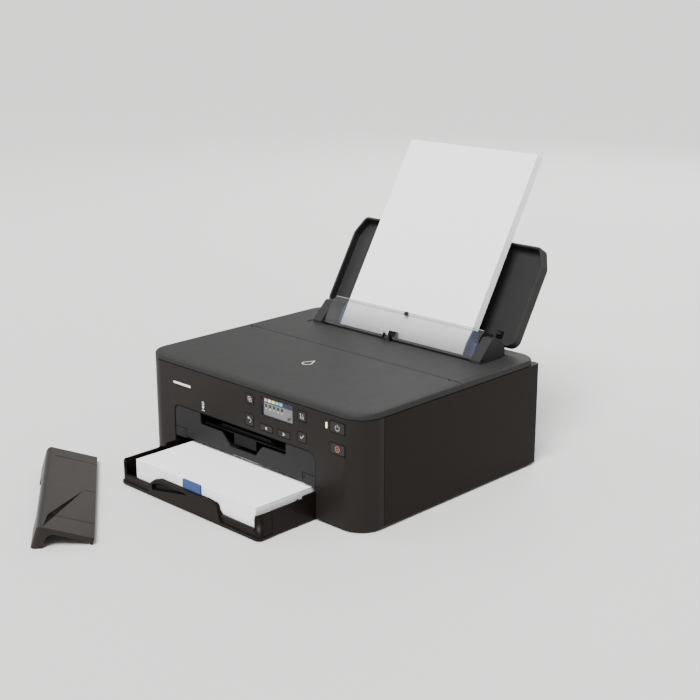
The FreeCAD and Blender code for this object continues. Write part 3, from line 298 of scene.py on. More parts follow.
metals = {
    "zinc": dict(name="zinc_plated_sheet", colour=(0.55, 0.56, 0.57), roughness=0.36),
    "motor": dict(name="motor_can", colour=(0.5, 0.5, 0.51), roughness=0.3),
    "roller": dict(name="grit_coated_roller", colour=(0.34, 0.34, 0.35), roughness=0.5, grain=(0.1, 1, 1)),
    "screw": dict(name="blackened_screw", colour=(0.12, 0.12, 0.125)),
    "brass": dict(name="turned_brass", colour=(0.62, 0.44, 0.18), roughness=0.3),
}
rubbers = {
    "rubber": dict(name="roller_rubber", colour=(0.055, 0.055, 0.06)),
    "foot": dict(name="foot_rubber", colour=(0.016, 0.016, 0.016)),
    "belt": dict(name="belt_rubber", colour=(0.018, 0.018, 0.018), roughness=0.6),
}
inks = {
    "white": dict(name="printed_white", colour=(0.82, 0.82, 0.8)),
    "keyInk": dict(name="key_print_grey", colour=(0.42, 0.42, 0.41)),
    "amber": dict(name="printed_red_orange", colour=(0.6, 0.12, 0.09)),
    "inkCyan": dict(name="label_cyan", colour=(0.02, 0.36, 0.62)),
    "inkMagenta": dict(name="label_magenta", colour=(0.62, 0.04, 0.22)),
    "inkYellow": dict(name="label_yellow", colour=(0.85, 0.66, 0.03)),
    "inkGrey": dict(name="label_grey", colour=(0.35, 0.35, 0.36)),
}
glows = {
    "lamp": dict(name="lit_lamp", colour=(0.75, 0.95, 0.28), glow=2.2),
    "screenGrey": dict(name="screen_ground", colour=(0.17, 0.175, 0.175), glow=0.5),
    "screenDark": dict(name="screen_dark", colour=(0.015, 0.015, 0.02), glow=0.0),
    "screenPink": dict(name="screen_pink", colour=(0.75, 0.30, 0.36), glow=0.8),
    "screenWhite": dict(name="screen_white", colour=(0.72, 0.74, 0.72), glow=0.8),
    "screenYellow": dict(name="screen_yellow", colour=(0.85, 0.80, 0.12), glow=0.9),
    "screenCyan": dict(name="screen_cyan", colour=(0.18, 0.48, 0.70), glow=0.8),
    "screenNavy": dict(name="screen_navy", colour=(0.02, 0.025, 0.06), glow=0.4),
}
makers = ((mouldedPlastic, plastics), (clearPlastic, clears), (plateSteel, metals), (softRubber, rubbers),
          (printedInk, inks), (litColour, glows))
finishes = {key: make(**recipe) for make, recipes in makers for key, recipe in recipes.items()}
finishes["paper"] = officePaper("office_paper", (0.86, 0.86, 0.87))
finishes["board"] = circuitBoard("solder_masked_board")
print("finishes made:", len(finishes))

# which nodes wear each finish
wearing = {
    "topGrey": ["top_cover", "rear_top_cover"],
    "fascia": ["front_fascia"],
    "side": ["left_side_cover", "right_side_cover", "rear_cover", "rear_access_cover"],
    "door": ["output_door", "door_inserts"],
    "keys": ["key_home", "key_back", "key_left", "key_right",
             "key_setup", "key_ok", "key_power", "key_stop"],
    "cassette": ["cassette_front", "cassette_tray"],
    "inner": ["output_tray", "output_extension", "cassette_guide_left", "cassette_guide_right",
              "rear_tray_base", "platen", "carriage_body", "power_inlet"],
    "case": ["bottom_case", "power_supply"],
    "support": ["paper_support"],
    "cover": ["cassette_cover"],
    "blue": ["length_stop"],
    "nylon": ["idler_pulley", "purge_unit"],
    "tank": ["ink_tanks"],
    "blueClear": ["rear_guide_left", "rear_guide_right"],
    "flap": ["feed_slot_cover"],
    "window": ["lcd_window"],
    "film": ["encoder_strip"],
    "paper": ["rear_paper", "cassette_paper"],
    "zinc": ["chassis_frame", "carriage_rail"],
    "motor": ["drive_motors", "usb_socket"],
    "roller": ["feed_roller"],
    "screw": ["screws"],
    "brass": ["carriage_motor_pulley", "feed_motor_pulley"],
    "rubber": ["cassette_pickup_roller", "rear_pickup_roller", "eject_roller"],
    "foot": ["feet"],
    "belt": ["carriage_belt", "feed_belt"],
    "board": ["panel_board", "main_board"],
    "screenDark": ["lcd_module"],
    "lamp": ["led_lens"],
}
finishOf = {node: finish for finish, nodes in wearing.items() for node in nodes}
bodyOf = {node: body for body, nodes in frame["record"]["behaviour"]["bodies"].items() for node in nodes}
for node, piece in frame["nodes"].items():
    piece.data.materials.clear()
    piece.data.materials.append(finishes[finishOf[node]])


def newPiece(name, mesh, finish, body, smooth=35):
    # a shaded object that rides on its body; edges sharper than smooth degrees stay sharp
    mesh.materials.clear()
    mesh.materials.append(finishes[finish])
    piece = bpy.data.objects.new(name, mesh)
    bpy.context.scene.collection.objects.link(piece)
    mesh.polygons.foreach_set("use_smooth", [True] * len(mesh.polygons))
    mesh.set_sharp_from_angle(angle=math.radians(smooth))
    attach(piece, body)
    return piece


def applied(piece):
    # keeps the shape that the modifiers give, and drops the modifiers
    graph = bpy.context.evaluated_depsgraph_get()
    shaped = bpy.data.meshes.new_from_object(piece.evaluated_get(graph))
    piece.modifiers.clear()
    piece.data = shaped


easing = {"weld": 0.002, "flatAngle": 0.6, "hardAngle": 32, "sharpAngle": 40}


def softened(node, width, shortest):
    # the node's own shape with its hard edges eased, as a mould leaves them;
    # where shortest is given, edges under that length stay sharp
    hardAngle = math.radians(easing["hardAngle"])
    mesh = frame["nodes"][node].data.copy()
    work = bmesh.new()
    work.from_mesh(mesh)
    bmesh.ops.remove_doubles(work, verts=work.verts, dist=easing["weld"] * mm)
    flat = math.radians(easing["flatAngle"])
    bmesh.ops.dissolve_limit(work, angle_limit=flat, verts=work.verts, edges=work.edges)
    if shortest > 0:
        weight = work.edges.layers.float.new("bevel_weight_edge")
        for edge in work.edges:
            hard = len(edge.link_faces) == 2 and edge.calc_face_angle(0) > hardAngle
            edge[weight] = 1.0 if hard and edge.calc_length() > shortest * mm else 0.0
    work.to_mesh(mesh)
    work.free()
    piece = newPiece(node + "_shell", mesh, finishOf[node], bodyOf[node])
    ease = piece.modifiers.new("ease", "BEVEL")
    ease.width = width * mm
    ease.segments = 2
    ease.limit_method = "WEIGHT" if shortest > 0 else "ANGLE"
    ease.angle_limit = hardAngle
    ease.use_clamp_overlap = False
    ease.miter_outer = "MITER_ARC"
    applied(piece)
    piece.data.polygons.foreach_set("use_smooth", [True] * len(piece.data.polygons))
    piece.data.set_sharp_from_angle(angle=math.radians(easing["sharpAngle"]))
    even = piece.modifiers.new("even", "WEIGHTED_NORMAL")
    even.keep_sharp = True
    even.weight = 80
    applied(piece)
    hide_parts(node)


# the width of each cover's eased edges in millimetres
eased = {
    "top_cover": 0.5, "rear_top_cover": 0.5, "front_fascia": 0.35, "left_side_cover": 0.4,
    "right_side_cover": 0.4, "rear_cover": 0.4, "rear_access_cover": 0.4, "output_door": 0.4,
    "door_inserts": 0.35, "cassette_tray": 0.4, "cassette_front": 0.6, "cassette_cover": 0.5,
    "paper_support": 0.7, "output_tray": 0.3, "output_extension": 0.3, "length_stop": 0.3,
}
eased.update({key: 0.22 for key in wearing["keys"]})
shortestEased = {"cassette_front": 8.0}
for node, width in eased.items():
    softened(node, width, shortestEased.get(node, 0.0))
print("covers eased:", len(eased))


def prisms(name, outlines, origin, across, up, height, finish, body, slot):
    # flat outlines in millimetres on the plane of across and up, each raised by height along its normal
    across, up = Vector(across).normalized(), Vector(up).normalized()
    out = across.cross(up)
    work = bmesh.new()
    for outline in outlines:
        low = [work.verts.new(origin + (across * u + up * v) * mm) for u, v in outline]
        high = [work.verts.new(vert.co + out * height * mm) for vert in low]
        work.faces.new(low[::-1])
        work.faces.new(high)
        for i, vert in enumerate(low):
            j = (i + 1) % len(low)
            work.faces.new((vert, low[j], high[j], high[i]))
    bmesh.ops.recalc_face_normals(work, faces=work.faces)
    mesh = bpy.data.meshes.new(name)
    work.to_mesh(mesh)
    work.free()
    newPiece(name, mesh, finish, body)


def bar(u0, v0, u1, v1):
    # a rectangle from its lower left to its upper right corner
    return [(u0, v0), (u1, v0), (u1, v1), (u0, v1)]


def pill(u, v, width, height, steps=8):
    # a bar with round ends
    radius = height / 2
    points = []
    for side, start in ((1, -90), (-1, 90)):
        for i in range(steps + 1):
            turn = math.radians(start + 180 * i / steps)
            middle = u + side * (width / 2 - radius)
            points.append((middle + radius * math.cos(turn), v + radius * math.sin(turn)))
    return points


def arcBand(u, v, radius, width, start=0.0, sweep=360.0, steps=28):
    # short straight-sided pieces of a ring, so that a full circle stays open in the middle
    bands = []
    inner, outer = radius - width / 2, radius + width / 2
    for i in range(steps):
        a = math.radians(start + sweep * i / steps)
        b = math.radians(start + sweep * (i + 1) / steps)
        bands.append([(u + r * math.cos(t), v + r * math.sin(t))
                      for r, t in ((outer, a), (outer, b), (inner, b), (inner, a))])
    return bands


def frameOf(u0, v0, u1, v1, width):
    # four bars round a rectangle, inside its outline
    return [bar(u0, v0, u1, v0 + width), bar(u0, v1 - width, u1, v1),
            bar(u0, v0 + width, u0 + width, v1 - width), bar(u1 - width, v0 + width, u1, v1 - width)]


facingFront = ((1, 0, 0), (0, 0, 1))
facingBack = ((-1, 0, 0), (0, 0, 1))
facingUp = ((1, 0, 0), (0, 1, 0))

keyMark = {"raised": 0.03, "line": 0.5}


def markKey(key, outlines, finish="keyInk"):
    # a printed mark in the middle of a key, in millimetres from its centre
    low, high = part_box(key)
    middle = Vector(((low.x + high.x) / 2, low.y, (low.z + high.z) / 2))
    prisms(key + "_mark", outlines, middle, *facingFront, keyMark["raised"], finish, key, "key_black")


line = keyMark["line"]
markKey("key_home", frameOf(-2.9, -1.2, 1.3, 3.0, line) + frameOf(-1.1, -3.0, 3.1, 1.2, line))
markKey("key_back", arcBand(0.3, -0.4, 2.4, line, -100, 250) + [[(-3.4, 2.6), (-0.6, 0.7), (-0.3, 3.6)]])
markKey("key_left", [[(-2.4, 0), (1.2, -2.1), (1.2, 2.1)]])
markKey("key_right", [[(2.4, 0), (-1.2, 2.1), (-1.2, -2.1)]])
markKey("key_setup", arcBand(1.2, -1.6, 1.5, line) + [bar(-2.6, -3.0, -1.9, 3.2), bar(-3.4, 2.0, -1.1, 2.7)]
        + [bar(0.9, 0.6, 1.5, 3.2)])
markKey("key_ok", [[(-3.0, 0.2), (-2.4, 0.8), (-0.9, -0.8), (2.5, 2.9), (3.1, 2.3), (-0.9, -2.1)]])
markKey("key_power", arcBand(0, -0.4, 3.1, 0.5, 125, 290) + [bar(-0.27, 0.4, 0.27, 3.6)])
markKey("key_stop", arcBand(0, 0, 3.1, 0.62) + [[(0, 1.2), (-1.0, -0.7), (1.0, -0.7)]], "amber")
print("key marks laid")

printed = {
    "badge": dict(at=(-116, 108.6), size=(33, 2.8), raised=0.05),
    "sheetWay": dict(at=(-77, 88.7), line=0.6, raised=0.04),
    "lid": dict(at=(2, 100.0), radius=9.5, line=0.9, raised=0.04),
}


def printMarks():
    # a plain bar on the front, a sheet with an arrow over the slot, a drop on the lid
    badge, way, lid = printed["badge"], printed["sheetWay"], printed["lid"]
    across, up = badge["at"]
    prisms("front_badge", [pill(0, 0, *badge["size"])], at(across, 0, up), *facingFront, badge["raised"],
           "white", "printer", "fascia")
    across, up = way["at"]
    sheet = frameOf(-1.7, 2.2, 1.7, 6.6, way["line"])
    arrow = [[(0, -2.8), (2.2, 1.0), (-2.2, 1.0)], bar(-2.6, -4.6, 2.6, -3.9)]
    prisms("sheet_way_mark", sheet + arrow, at(across, 0, up), *facingFront, way["raised"],
           "white", "printer", "fascia")
    across, back = lid["at"]
    radius = lid["radius"]
    drop = arcBand(0, -radius * 0.3, radius * 0.6, lid["line"], -210, 240)
    tip = [[(side * radius * 0.58, 0), (side * radius * 0.48, 0), (0, radius * 0.95), (0, radius * 1.15)]
           for side in (-1, 1)]
    prisms("lid_mark", drop + tip, at(across, back, bodyTop / mm), *facingUp, lid["raised"],
           "white", "lid", "top_grey")


printMarks()
print("front and lid marked")

# sizes in millimetres, among them those of the painted-shade strips in the gaps round the keys and the
# output door
rim = {"sunk": 0.3, "raised": 0.03, "keyGap": 0.5, "keyGapShade": 0.7, "doorGap": 0.7, "doorGapShade": 0.8,
       "leftCorner": 8.0, "rightCorner": 12.0, "foot": 2.0, "faceDepth": 0.1,
       # catch places the flat dark square of painted shade for the notch on the right insert
       "catch": (1.2, -7.0, 3.0, -3.5), "notchShadeRaised": 0.04}


def frontFace(node):
    # the outline of what a node shows at the front, in millimetres from the foot of the front face's middle
    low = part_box(node)[0]
    points = [v.co for v in frame["nodes"][node].data.vertices]
    face = [point - at(0, 0, 0) for point in points if point.y < low.y + rim["faceDepth"] * mm]
    across, heights = [c.x / mm for c in face], [c.z / mm for c in face]
    return min(across), min(heights), max(across), max(heights)


def shadeSeams():
    # painted shade: near-black strips in the gaps round the keys and the output door, standing in for the
    # shadow in those gaps
    def ring(name, outlines):
        prisms(name, outlines, at(0, rim["sunk"], 0), *facingFront, rim["sunk"] + rim["raised"],
               "inner", "printer", "fascia")

    for key in wearing["keys"]:
        u0, v0, u1, v1 = frontFace(key)
        out = rim["keyGap"] + rim["keyGapShade"]
        ring(key + "_rim", frameOf(u0 - out, v0 - out, u1 + out, v1 + out, rim["keyGapShade"]))
    low, high = [(corner - at(0, 0, 0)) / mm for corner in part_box("output_door")]
    u0, u1, top = low.x - rim["doorGap"], high.x + rim["doorGap"], high.z + rim["doorGap"]
    left, right, wide = rim["leftCorner"], rim["rightCorner"], rim["doorGapShade"]
    edge = [bar(u0 - wide, rim["foot"], u0, top - left), bar(u0 + left, top, u1 - right, top + wide),
            bar(u1, rim["foot"], u1 + wide, top - right)]
    edge += arcBand(u0 + left, top - left, left + wide / 2, wide, 90, 90, 6)
    edge += arcBand(u1 - right, top - right, right + wide / 2, wide, 0, 90, 8)
    ring("door_gap_shade", edge)


def markNotchShade():
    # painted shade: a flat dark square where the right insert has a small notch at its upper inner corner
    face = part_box("door_inserts")[0].y
    points = [v.co for v in frame["nodes"]["door_inserts"].data.vertices]
    insert = [c for c in points if c.x > centreX and c.y < face + rim["faceDepth"] * mm]
    corner = Vector((min(c.x for c in insert), face, max(c.z for c in insert)))
    prisms("insert_notch_shade", [bar(*rim["catch"])], corner, *facingFront, rim["notchShadeRaised"],
           "inner", "printer", "door_grey")


shadeSeams()
markNotchShade()
print("seams shaded")

screen = {
    "inset": 1.6, "raised": 0.04, "header": 0.27, "border": 1.2, "overlap": 1.4,
    "blocks": ["screenPink", "screenWhite", "screenYellow", "screenCyan", "screenCyan"],
    "blocksAcross": 8, "blockLeft": 0.8, "blockPitch": 1.05, "blockWide": 0.82,
    "blockFoot": 1.4, "blockTop": 0.6,
    "tanks": 5, "tank": (3.6, 3.0), "tankLeft": 2.0, "tankGap": 3.0, "tankBelow": 2.0,
    "neck": 0.7, "labelBelow": 3.4, "labelTall": 1.2, "labelIn": 0.4,
    "labels": ["screenPink", "screenYellow", "screenCyan", "screenWhite"],
}


def makeScreen():
    # the picture on the display: a dark header with coloured blocks over a row of ink tanks, inside a dark
    # frame of painted shade from the window's bevel
    low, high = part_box("lcd_window")
    wide = (high.x - low.x) / mm - screen["inset"] * 2
    tall = (high.z - low.z) / mm - screen["inset"] * 2
    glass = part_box("lcd_module")[0].y
    corner = Vector((low.x + screen["inset"] * mm, glass, low.z + screen["inset"] * mm))
    headerFoot = tall * (1 - screen["header"])

    def show(name, outlines, level, finish):
        origin = corner - Vector((0, level * screen["raised"] * mm, 0))
        prisms("screen_" + name, outlines, origin, *facingFront, screen["raised"], finish,
               "printer", "screen")

    show("ground", [bar(0, 0, wide, headerFoot)], 0, "screenGrey")
    show("header", [bar(0, headerFoot, wide, tall)], 0, "screenNavy")
    unit = wide / screen["blocksAcross"]
    for i, finish in enumerate(screen["blocks"]):
        left = screen["blockLeft"] + i * unit * screen["blockPitch"]
        block = bar(left, headerFoot + screen["blockFoot"], left + unit * screen["blockWide"],
                    tall - screen["blockTop"])
        show("block_%d" % (i + 1), [block], 1, finish)
    width, height = screen["tank"]
    top = headerFoot - screen["tankBelow"]
    labelTop = headerFoot - height - screen["labelBelow"]
    icons, labels = [], {finish: [] for finish in screen["labels"]}
    for i in range(screen["tanks"]):
        left = screen["tankLeft"] + i * (width + screen["tankGap"])
        icons.append(bar(left, top - height, left + width, top))
        icons.append(bar(left + 1, top, left + width - 1, top + screen["neck"]))
        finish = screen["labels"][i % len(screen["labels"])]
        labels[finish].append(bar(left + screen["labelIn"], labelTop - screen["labelTall"],
                                  left + width - screen["labelIn"], labelTop))
    icons += [bar(wide - 8.6, 2.0, wide - 5.4, 5.0), bar(wide - 4.6, 3.6, wide - 3.0, 6.4)]
    show("icons", icons, 1, "screenDark")
    for finish, outlines in labels.items():
        show("label_" + finish[6:].lower(), outlines, 1, finish)
    # a dark frame round the picture: painted shade of the window's bevel
    out = screen["overlap"]
    show("bevel_shade", frameOf(-out, -out, wide + out, tall + out, screen["border"]), 1, "screenDark")


makeScreen()
print("display drawn")

stacks = {
    "cassette_paper": dict(body="cassette", sheets=76, slip=0.35, filled=0.93, seed=3),
    "rear_paper": dict(body="rear_paper", sheets=40, slip=0.3, filled=0.93, seed=8),
}


def sheetStack(node, recipe):
    # single sheets, each a little out of line, between the two that mark the stack's outline
    corners = sorted((v.co.copy() for v in frame["nodes"][node].data.vertices), key=lambda c: c.x)
    left = corners[0].x
    ends = [c for c in corners if c.x < left + mm]
    width = corners[-1].x - left
    foot = min(ends, key=lambda c: c.z)
    if node == "rear_paper":
        origin = min(ends, key=lambda c: c.y)
        along = max(ends, key=lambda c: c.z) - origin
        through = foot - origin
    else:
        origin = min(ends, key=lambda c: c.y + c.z)
        along = Vector((0, max(c.y for c in ends) - origin.y, 0))
        through = Vector((0, 0, max(c.z for c in ends) - origin.z))
    across = Vector((width, 0, 0))
    chance = random.Random(recipe["seed"])
    work = bmesh.new()
    count = recipe["sheets"]
    for i in range(count):
        slips = [chance.random() ** 2 * recipe["slip"] * mm for edge in range(4)]
        if i in (0, count - 1):
            slips = [0, 0, 0, 0]
        u0, u1 = slips[0] / width, 1 - slips[1] / width
        v0, v1 = slips[2] / along.length, 1 - slips[3] / along.length
        w0 = i / count
        w1 = (i + recipe["filled"]) / count if i < count - 1 else 1
        box = [work.verts.new(origin + across * u + along * v + through * w)
               for w in (w0, w1) for u, v in ((u0, v0), (u1, v0), (u1, v1), (u0, v1))]
        for face in ((0, 1, 2, 3), (7, 6, 5, 4), (0, 4, 5, 1), (1, 5, 6, 2), (2, 6, 7, 3), (3, 7, 4, 0)):
            work.faces.new([box[k] for k in face])
    bmesh.ops.recalc_face_normals(work, faces=work.faces)
    mesh = bpy.data.meshes.new(node)
    work.to_mesh(mesh)
    work.free()
    piece = newPiece(node + "_sheets", mesh, "paper", recipe["body"], 20)
    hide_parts(node)


for node, recipe in stacks.items():
    sheetStack(node, recipe)
print("paper stacked")

tanks = {"wide": 24.0, "narrow": 12.0, "firstGap": 1.2, "gap": 1.0, "fromFront": 32.0, "below": 2.5,
         "margin": 1.8, "label": 5.0, "stripe": (-14, -6), "raised": 0.08,
         "inks": ["inkGrey", "inkCyan", "inkMagenta", "inkYellow", "inkCyan"]}


def labelTanks():
    # a label and a stripe in each ink's colour
    low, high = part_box("ink_tanks")
    left = low.x
    for i, ink in enumerate(tanks["inks"]):
        width, gap = (tanks["wide"], tanks["firstGap"]) if i == 0 else (tanks["narrow"], tanks["gap"])
        back, up = low.y + tanks["fromFront"] * mm, high.z - tanks["below"] * mm
        half = width / 2 - tanks["margin"]
        stripe = bar(-half, tanks["stripe"][0], half, tanks["stripe"][1])
        prisms("tank_label_%d" % (i + 1), [pill(0, 0, half * 2, tanks["label"]), stripe],
               Vector((left + width / 2 * mm, back, up)), *facingUp, tanks["raised"], ink,
               "print_carriage", "tank_black")
        left += (width + gap) * mm


labelTanks()

teeth = {"pitch": 3.0, "wide": 1.4, "tall": 0.22, "belt": 1.2, "sunk": 0.05, "margin": 0.2}


def toothBelt():
    # teeth on the inner side of both straight runs
    low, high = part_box("carriage_belt")
    radius = (high.z - low.z) / mm / 2
    count = int(((high.x - low.x) / mm - 2 * radius) / teeth["pitch"])
    tall, half, sunk = teeth["tall"], teeth["wide"] / 2, teeth["sunk"]
    foot, top = teeth["belt"], 2 * radius - teeth["belt"]
    rows = []
    for i in range(count):
        u = radius + (i + 0.5) * teeth["pitch"]
        rows.append(bar(u - half, foot - sunk, u + half, foot + tall))
        rows.append(bar(u - half, top - tall, u + half, top + sunk))
    origin = Vector((low.x, high.y - teeth["margin"] * mm, low.z))
    deep = (high.y - low.y) / mm - 2 * teeth["margin"]
    prisms("carriage_belt_teeth", rows, origin, *facingFront, deep, "belt", "printer", "belt_rubber")


toothBelt()
print("inside dressed")

sockets = {"pinRadius": 1.16, "pinSpread": 4.3, "pinFront": 2.4, "pinLength": 8.0, "pinStep": 20,
           "tongue": (7.0, 2.2), "tongueLength": 9.0, "tongueFoot": 12.0}


def dressSockets():
    # two pins in the inlet and the tongue in the USB socket, all pointing back
    low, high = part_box("power_inlet")
    middle = (low + high) / 2
    radius, spread = sockets["pinRadius"], sockets["pinSpread"]
    turns = [math.radians(t) for t in range(0, 360, sockets["pinStep"])]
    pins = [[(-side * spread - radius * math.cos(t), radius * math.sin(t)) for t in turns]
            for side in (-1, 1)]
    foot = bodyBack - (sockets["pinFront"] + sockets["pinLength"]) * mm
    prisms("inlet_pins", pins, Vector((middle.x, foot, middle.z)), *facingBack, sockets["pinLength"],
           "brass", "printer", "motor_steel")
    low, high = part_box("usb_socket")
    middle = (low + high) / 2
    half, tall = sockets["tongue"][0] / 2, sockets["tongue"][1] / 2
    foot = high.y - sockets["tongueFoot"] * mm
    prisms("usb_tongue", [bar(-half, -tall, half, tall)], Vector((middle.x, foot, middle.z)),
           *facingBack, sockets["tongueLength"], "nylon", "printer", "white_nylon")


dressSockets()

# the rear stack leans back by degrees, and its foot is millimetres under the top and before the back
feed = {"lean": 31.0, "drop": 3.0, "fromBack": 64.7, "centre": 10.0}
feedOrigin = Vector((centreX, bodyBack - feed["fromBack"] * mm, bodyTop - feed["drop"] * mm))
lean = math.radians(feed["lean"])
sheetUp = Vector((0, math.sin(lean), math.cos(lean)))
sheetBack = Vector((0, sheetUp.z, -sheetUp.y))
facingLean = ((1, 0, 0), sheetUp)


def feedPoint(right, back, along):
    # a point in millimetres from the foot of the rear stack's front face
    return feedOrigin + Vector((right * mm, 0, 0)) + sheetBack * back * mm + sheetUp * along * mm


catch = {"left": -4.9, "right": 7.9, "arm": 2.6, "tall": 8.6, "front": 12.4, "deep": 3.4, "sunk": 0.6,
         "bridge": (1.2, 4.6), "bridgeBack": 2.9, "bridgeDeep": 1.8}


def makeCatch():
    # two hooked arms on the slot's front edge and the bridge between them
    left, right, arm, tall, deep = [catch[key] for key in ("left", "right", "arm", "tall", "deep")]
    foot = Vector((centreX, feedOrigin.y - catch["front"] * mm, bodyTop))
    side = [(0, -catch["sunk"]), (deep, -catch["sunk"]), (deep, tall * 0.62), (2.2, tall), (0.6, tall),
            (-0.6, tall * 0.45)]
    for name, start in (("left", left), ("right", right - arm)):
        prisms("feed_catch_" + name, [side], foot + Vector((start * mm, 0, 0)), (0, 1, 0), (0, 0, 1), arm,
               "inner", "printer", "top_grey")
    bridge = bar(left + arm, catch["bridge"][0], right - arm, catch["bridge"][1])
    prisms("feed_catch_bridge", [bridge], foot + Vector((0, catch["bridgeBack"] * mm, 0)), *facingFront,
           catch["bridgeDeep"], "inner", "printer", "top_grey")


makeCatch()

# the strip of painted highlight along the flap's top edge
edgeHighlightStrip = {"half": 125.0, "wide": 0.8, "deep": 1.7, "back": -2.75, "along": 39.1}
flapClip = {"half": 3.5, "tall": 4.2, "tab": 1.1, "deep": 1.6, "back": -3.2, "along": 38.6}
# a near-black strip at the flap's foot: painted shade of the slot's gap
slotShade = {"half": 121.0, "foot": -7.0, "top": 3.3, "tongue": (-16.5, -0.5), "tongueTop": 10.6, "deep": 0.8,
           "back": -4.0}
# a near-black backing sheet behind the stack, closing the see-through gaps there; its near-black stands in
# for the shade there
shadeBacking = {"half": 93.5, "out": 125.5, "foot": 18.0, "top": 30.8, "wingTop": 41.0, "deep": 1.6, "back": 16.8}


def trimFlap():
    # a light grey strip along the flap's top edge as painted highlight, a near-black strip at the flap's
    # foot as painted shade of the slot, a near-black backing behind the stack that closes the see-through
    # gaps there and stands in for their shade, and the clip
    edge = [bar(-edgeHighlightStrip["half"], -edgeHighlightStrip["wide"], edgeHighlightStrip["half"], 0)]
    prisms("flap_edge_highlight", edge, feedPoint(feed["centre"], edgeHighlightStrip["back"], edgeHighlightStrip["along"]), *facingLean,
           edgeHighlightStrip["deep"], "flapEdge", "feed_slot_cover", "flap_clear")
    lip = [bar(-slotShade["half"], slotShade["foot"], slotShade["half"], slotShade["top"]),
           bar(slotShade["tongue"][0], slotShade["top"], slotShade["tongue"][1], slotShade["tongueTop"])]
    prisms("feed_slot_shade", lip, feedPoint(feed["centre"], slotShade["back"], 0), *facingLean,
           slotShade["deep"], "inner", "printer", "case_black")
    half, out, foot = shadeBacking["half"], shadeBacking["out"], shadeBacking["foot"]
    wings = [bar(-half, foot, half, shadeBacking["top"]), bar(-out, foot, -half, shadeBacking["wingTop"]),
             bar(half, foot, out, shadeBacking["wingTop"])]
    prisms("feed_bed_shade_backing", wings, feedPoint(feed["centre"], shadeBacking["back"], 0), *facingLean,
           shadeBacking["deep"], "inner", "printer", "case_black")
    half, deep = flapClip["half"], flapClip["tall"]
    hook = [[(-half, 0), (half, 0), (half * 0.7, -deep), (-half * 0.7, -deep)],
            bar(-half * 0.5, 0, half * 0.5, flapClip["tab"])]
    prisms("flap_clip", hook, feedPoint(feed["centre"], flapClip["back"], flapClip["along"]), *facingLean,
           flapClip["deep"], "inner", "feed_slot_cover", "case_black")


trimFlap()

latch = {"right": 130.0, "back": 36.4, "along": 47.0, "size": 9.0, "deep": 1.4, "hookDeep": 2.2}


def makeSupportLatch():
    # the square latch on the paper support, with its hook
    size = latch["size"]
    origin = feedPoint(latch["right"], latch["back"], latch["along"])
    prisms("support_latch", [bar(-size / 2, -size / 2, size / 2, size / 2)], origin, *facingLean,
           latch["deep"], "inner", "printer", "support_grey")
    hook = [[(-size * 0.36, -1), (size * 0.36, -1), (size * 0.2, 2.6), (-size * 0.36, 2.6)]]
    prisms("support_latch_hook", hook, origin - sheetBack * latch["deep"] * mm, *facingLean,
           latch["hookDeep"], "keys", "printer", "support_grey")


makeSupportLatch()
print("rear feed trimmed")

handle = {"recess": [(-69.4, 10.2), (-8.0, 21.6), (-56.0, 21.6), (-69.4, 16.4)],
          "floor": 3.65, "deep": 0.35}


def shadeRecess():
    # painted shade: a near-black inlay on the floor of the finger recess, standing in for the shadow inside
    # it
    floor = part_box("cassette_front")[0].y + handle["floor"] * mm
    prisms("handle_recess_shade", [handle["recess"]], Vector((centreX, floor, 0)), *facingFront,
           handle["deep"], "inner", "cassette", "cassette_black")


shadeRecess()

grip = {"count": 6, "pitch": 3.2, "bar": (1.6, 14.0), "inset": 16.0, "below": 14.0, "raised": 0.18}


def makeGrips():
    # upright finger ridges at the two upper corners of the transport-unit door
    low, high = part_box("rear_access_cover")
    wide, tall = grip["bar"]
    for name, side, edge in (("left", -1, low.x), ("right", 1, high.x)):
        origin = Vector((edge - side * grip["inset"] * mm, high.y, high.z - grip["below"] * mm))
        ridges = []
        for i in range(grip["count"]):
            u = (i - (grip["count"] - 1) / 2) * grip["pitch"]
            ridges.append([(u + v, w) for w, v in pill(0, 0, tall, wide, 6)])
        prisms("access_grip_" + name, ridges, origin, *facingBack, grip["raised"], "side",
               "rear_access_cover", "side_cover")


makeGrips()
print("handle and grips dressed")

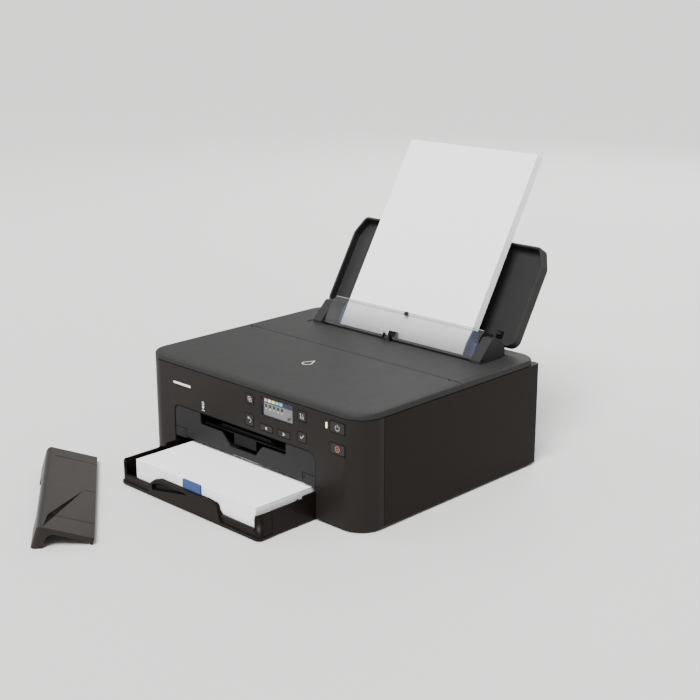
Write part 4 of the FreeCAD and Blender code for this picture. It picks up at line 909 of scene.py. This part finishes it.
stage = {"floor": (0.64, 0.635, 0.625), "reach": 60.0}  # reach in metres
studio = {
    "key": dict(kind="SUN", place=(0.55, -1.3, 2.2), power=6.4, spread=28.0),
    "back": dict(kind="AREA", place=(-0.9, 2.3, 1.5), power=34, size=1.8),
    "side": dict(kind="AREA", place=(-2.1, -0.9, 1.5), power=20, size=1.6),
}
air = {"colour": (1.0, 0.99, 0.975, 1), "strength": 0.72}
view = {"place": (1091.5, -952.4, 599.6), "yaw": 44.12, "pitch": -16.37, "lens": 67.9, "sensor": 36}


def makeFloor():
    mesh = bpy.data.meshes.new("floor")
    reach = stage["reach"]
    corners = [(-reach, -reach, 0), (reach, -reach, 0), (reach, reach, 0), (-reach, reach, 0)]
    mesh.from_pydata(corners, [], [(0, 1, 2, 3)])
    floor = bpy.data.objects.new("floor", mesh)
    bpy.context.scene.collection.objects.link(floor)
    finish = Finish("pale_floor", Roughness=0.6, Specular_IOR_Level=0.3)
    cloud = finish.noise(60, 3)
    finish.feed("Base Color", finish.blend(cloud, scaled(stage["floor"], 0.985), stage["floor"]))
    mesh.materials.append(finish.material)


def makeLights():
    for name, light in studio.items():
        data = bpy.data.lights.new(name, light["kind"])
        data.energy = light["power"]
        if light["kind"] == "SUN":
            data.angle = math.radians(light["spread"])
        else:
            data.size = light["size"]
        lamp = bpy.data.objects.new(name, data)
        bpy.context.scene.collection.objects.link(lamp)
        lamp.location = light["place"]
        aim = at(0, 100, 80) - Vector(light["place"])
        lamp.rotation_euler = aim.to_track_quat("-Z", "Y").to_euler()
    world = bpy.data.worlds.new("studio_air")
    bpy.context.scene.world = world
    world.use_nodes = True
    background = world.node_tree.nodes["Background"]
    background.inputs["Color"].default_value = air["colour"]
    background.inputs["Strength"].default_value = air["strength"]


def makeCamera():
    data = bpy.data.cameras.new("camera")
    data.lens = view["lens"]
    data.sensor_width = view["sensor"]
    camera = bpy.data.objects.new("camera", data)
    bpy.context.scene.collection.objects.link(camera)
    camera.location = at(*view["place"])
    camera.rotation_euler = (math.radians(90 + view["pitch"]), 0, math.radians(view["yaw"]))
    bpy.context.scene.camera = camera


makeFloor()
makeLights()
makeCamera()
print("stage set")
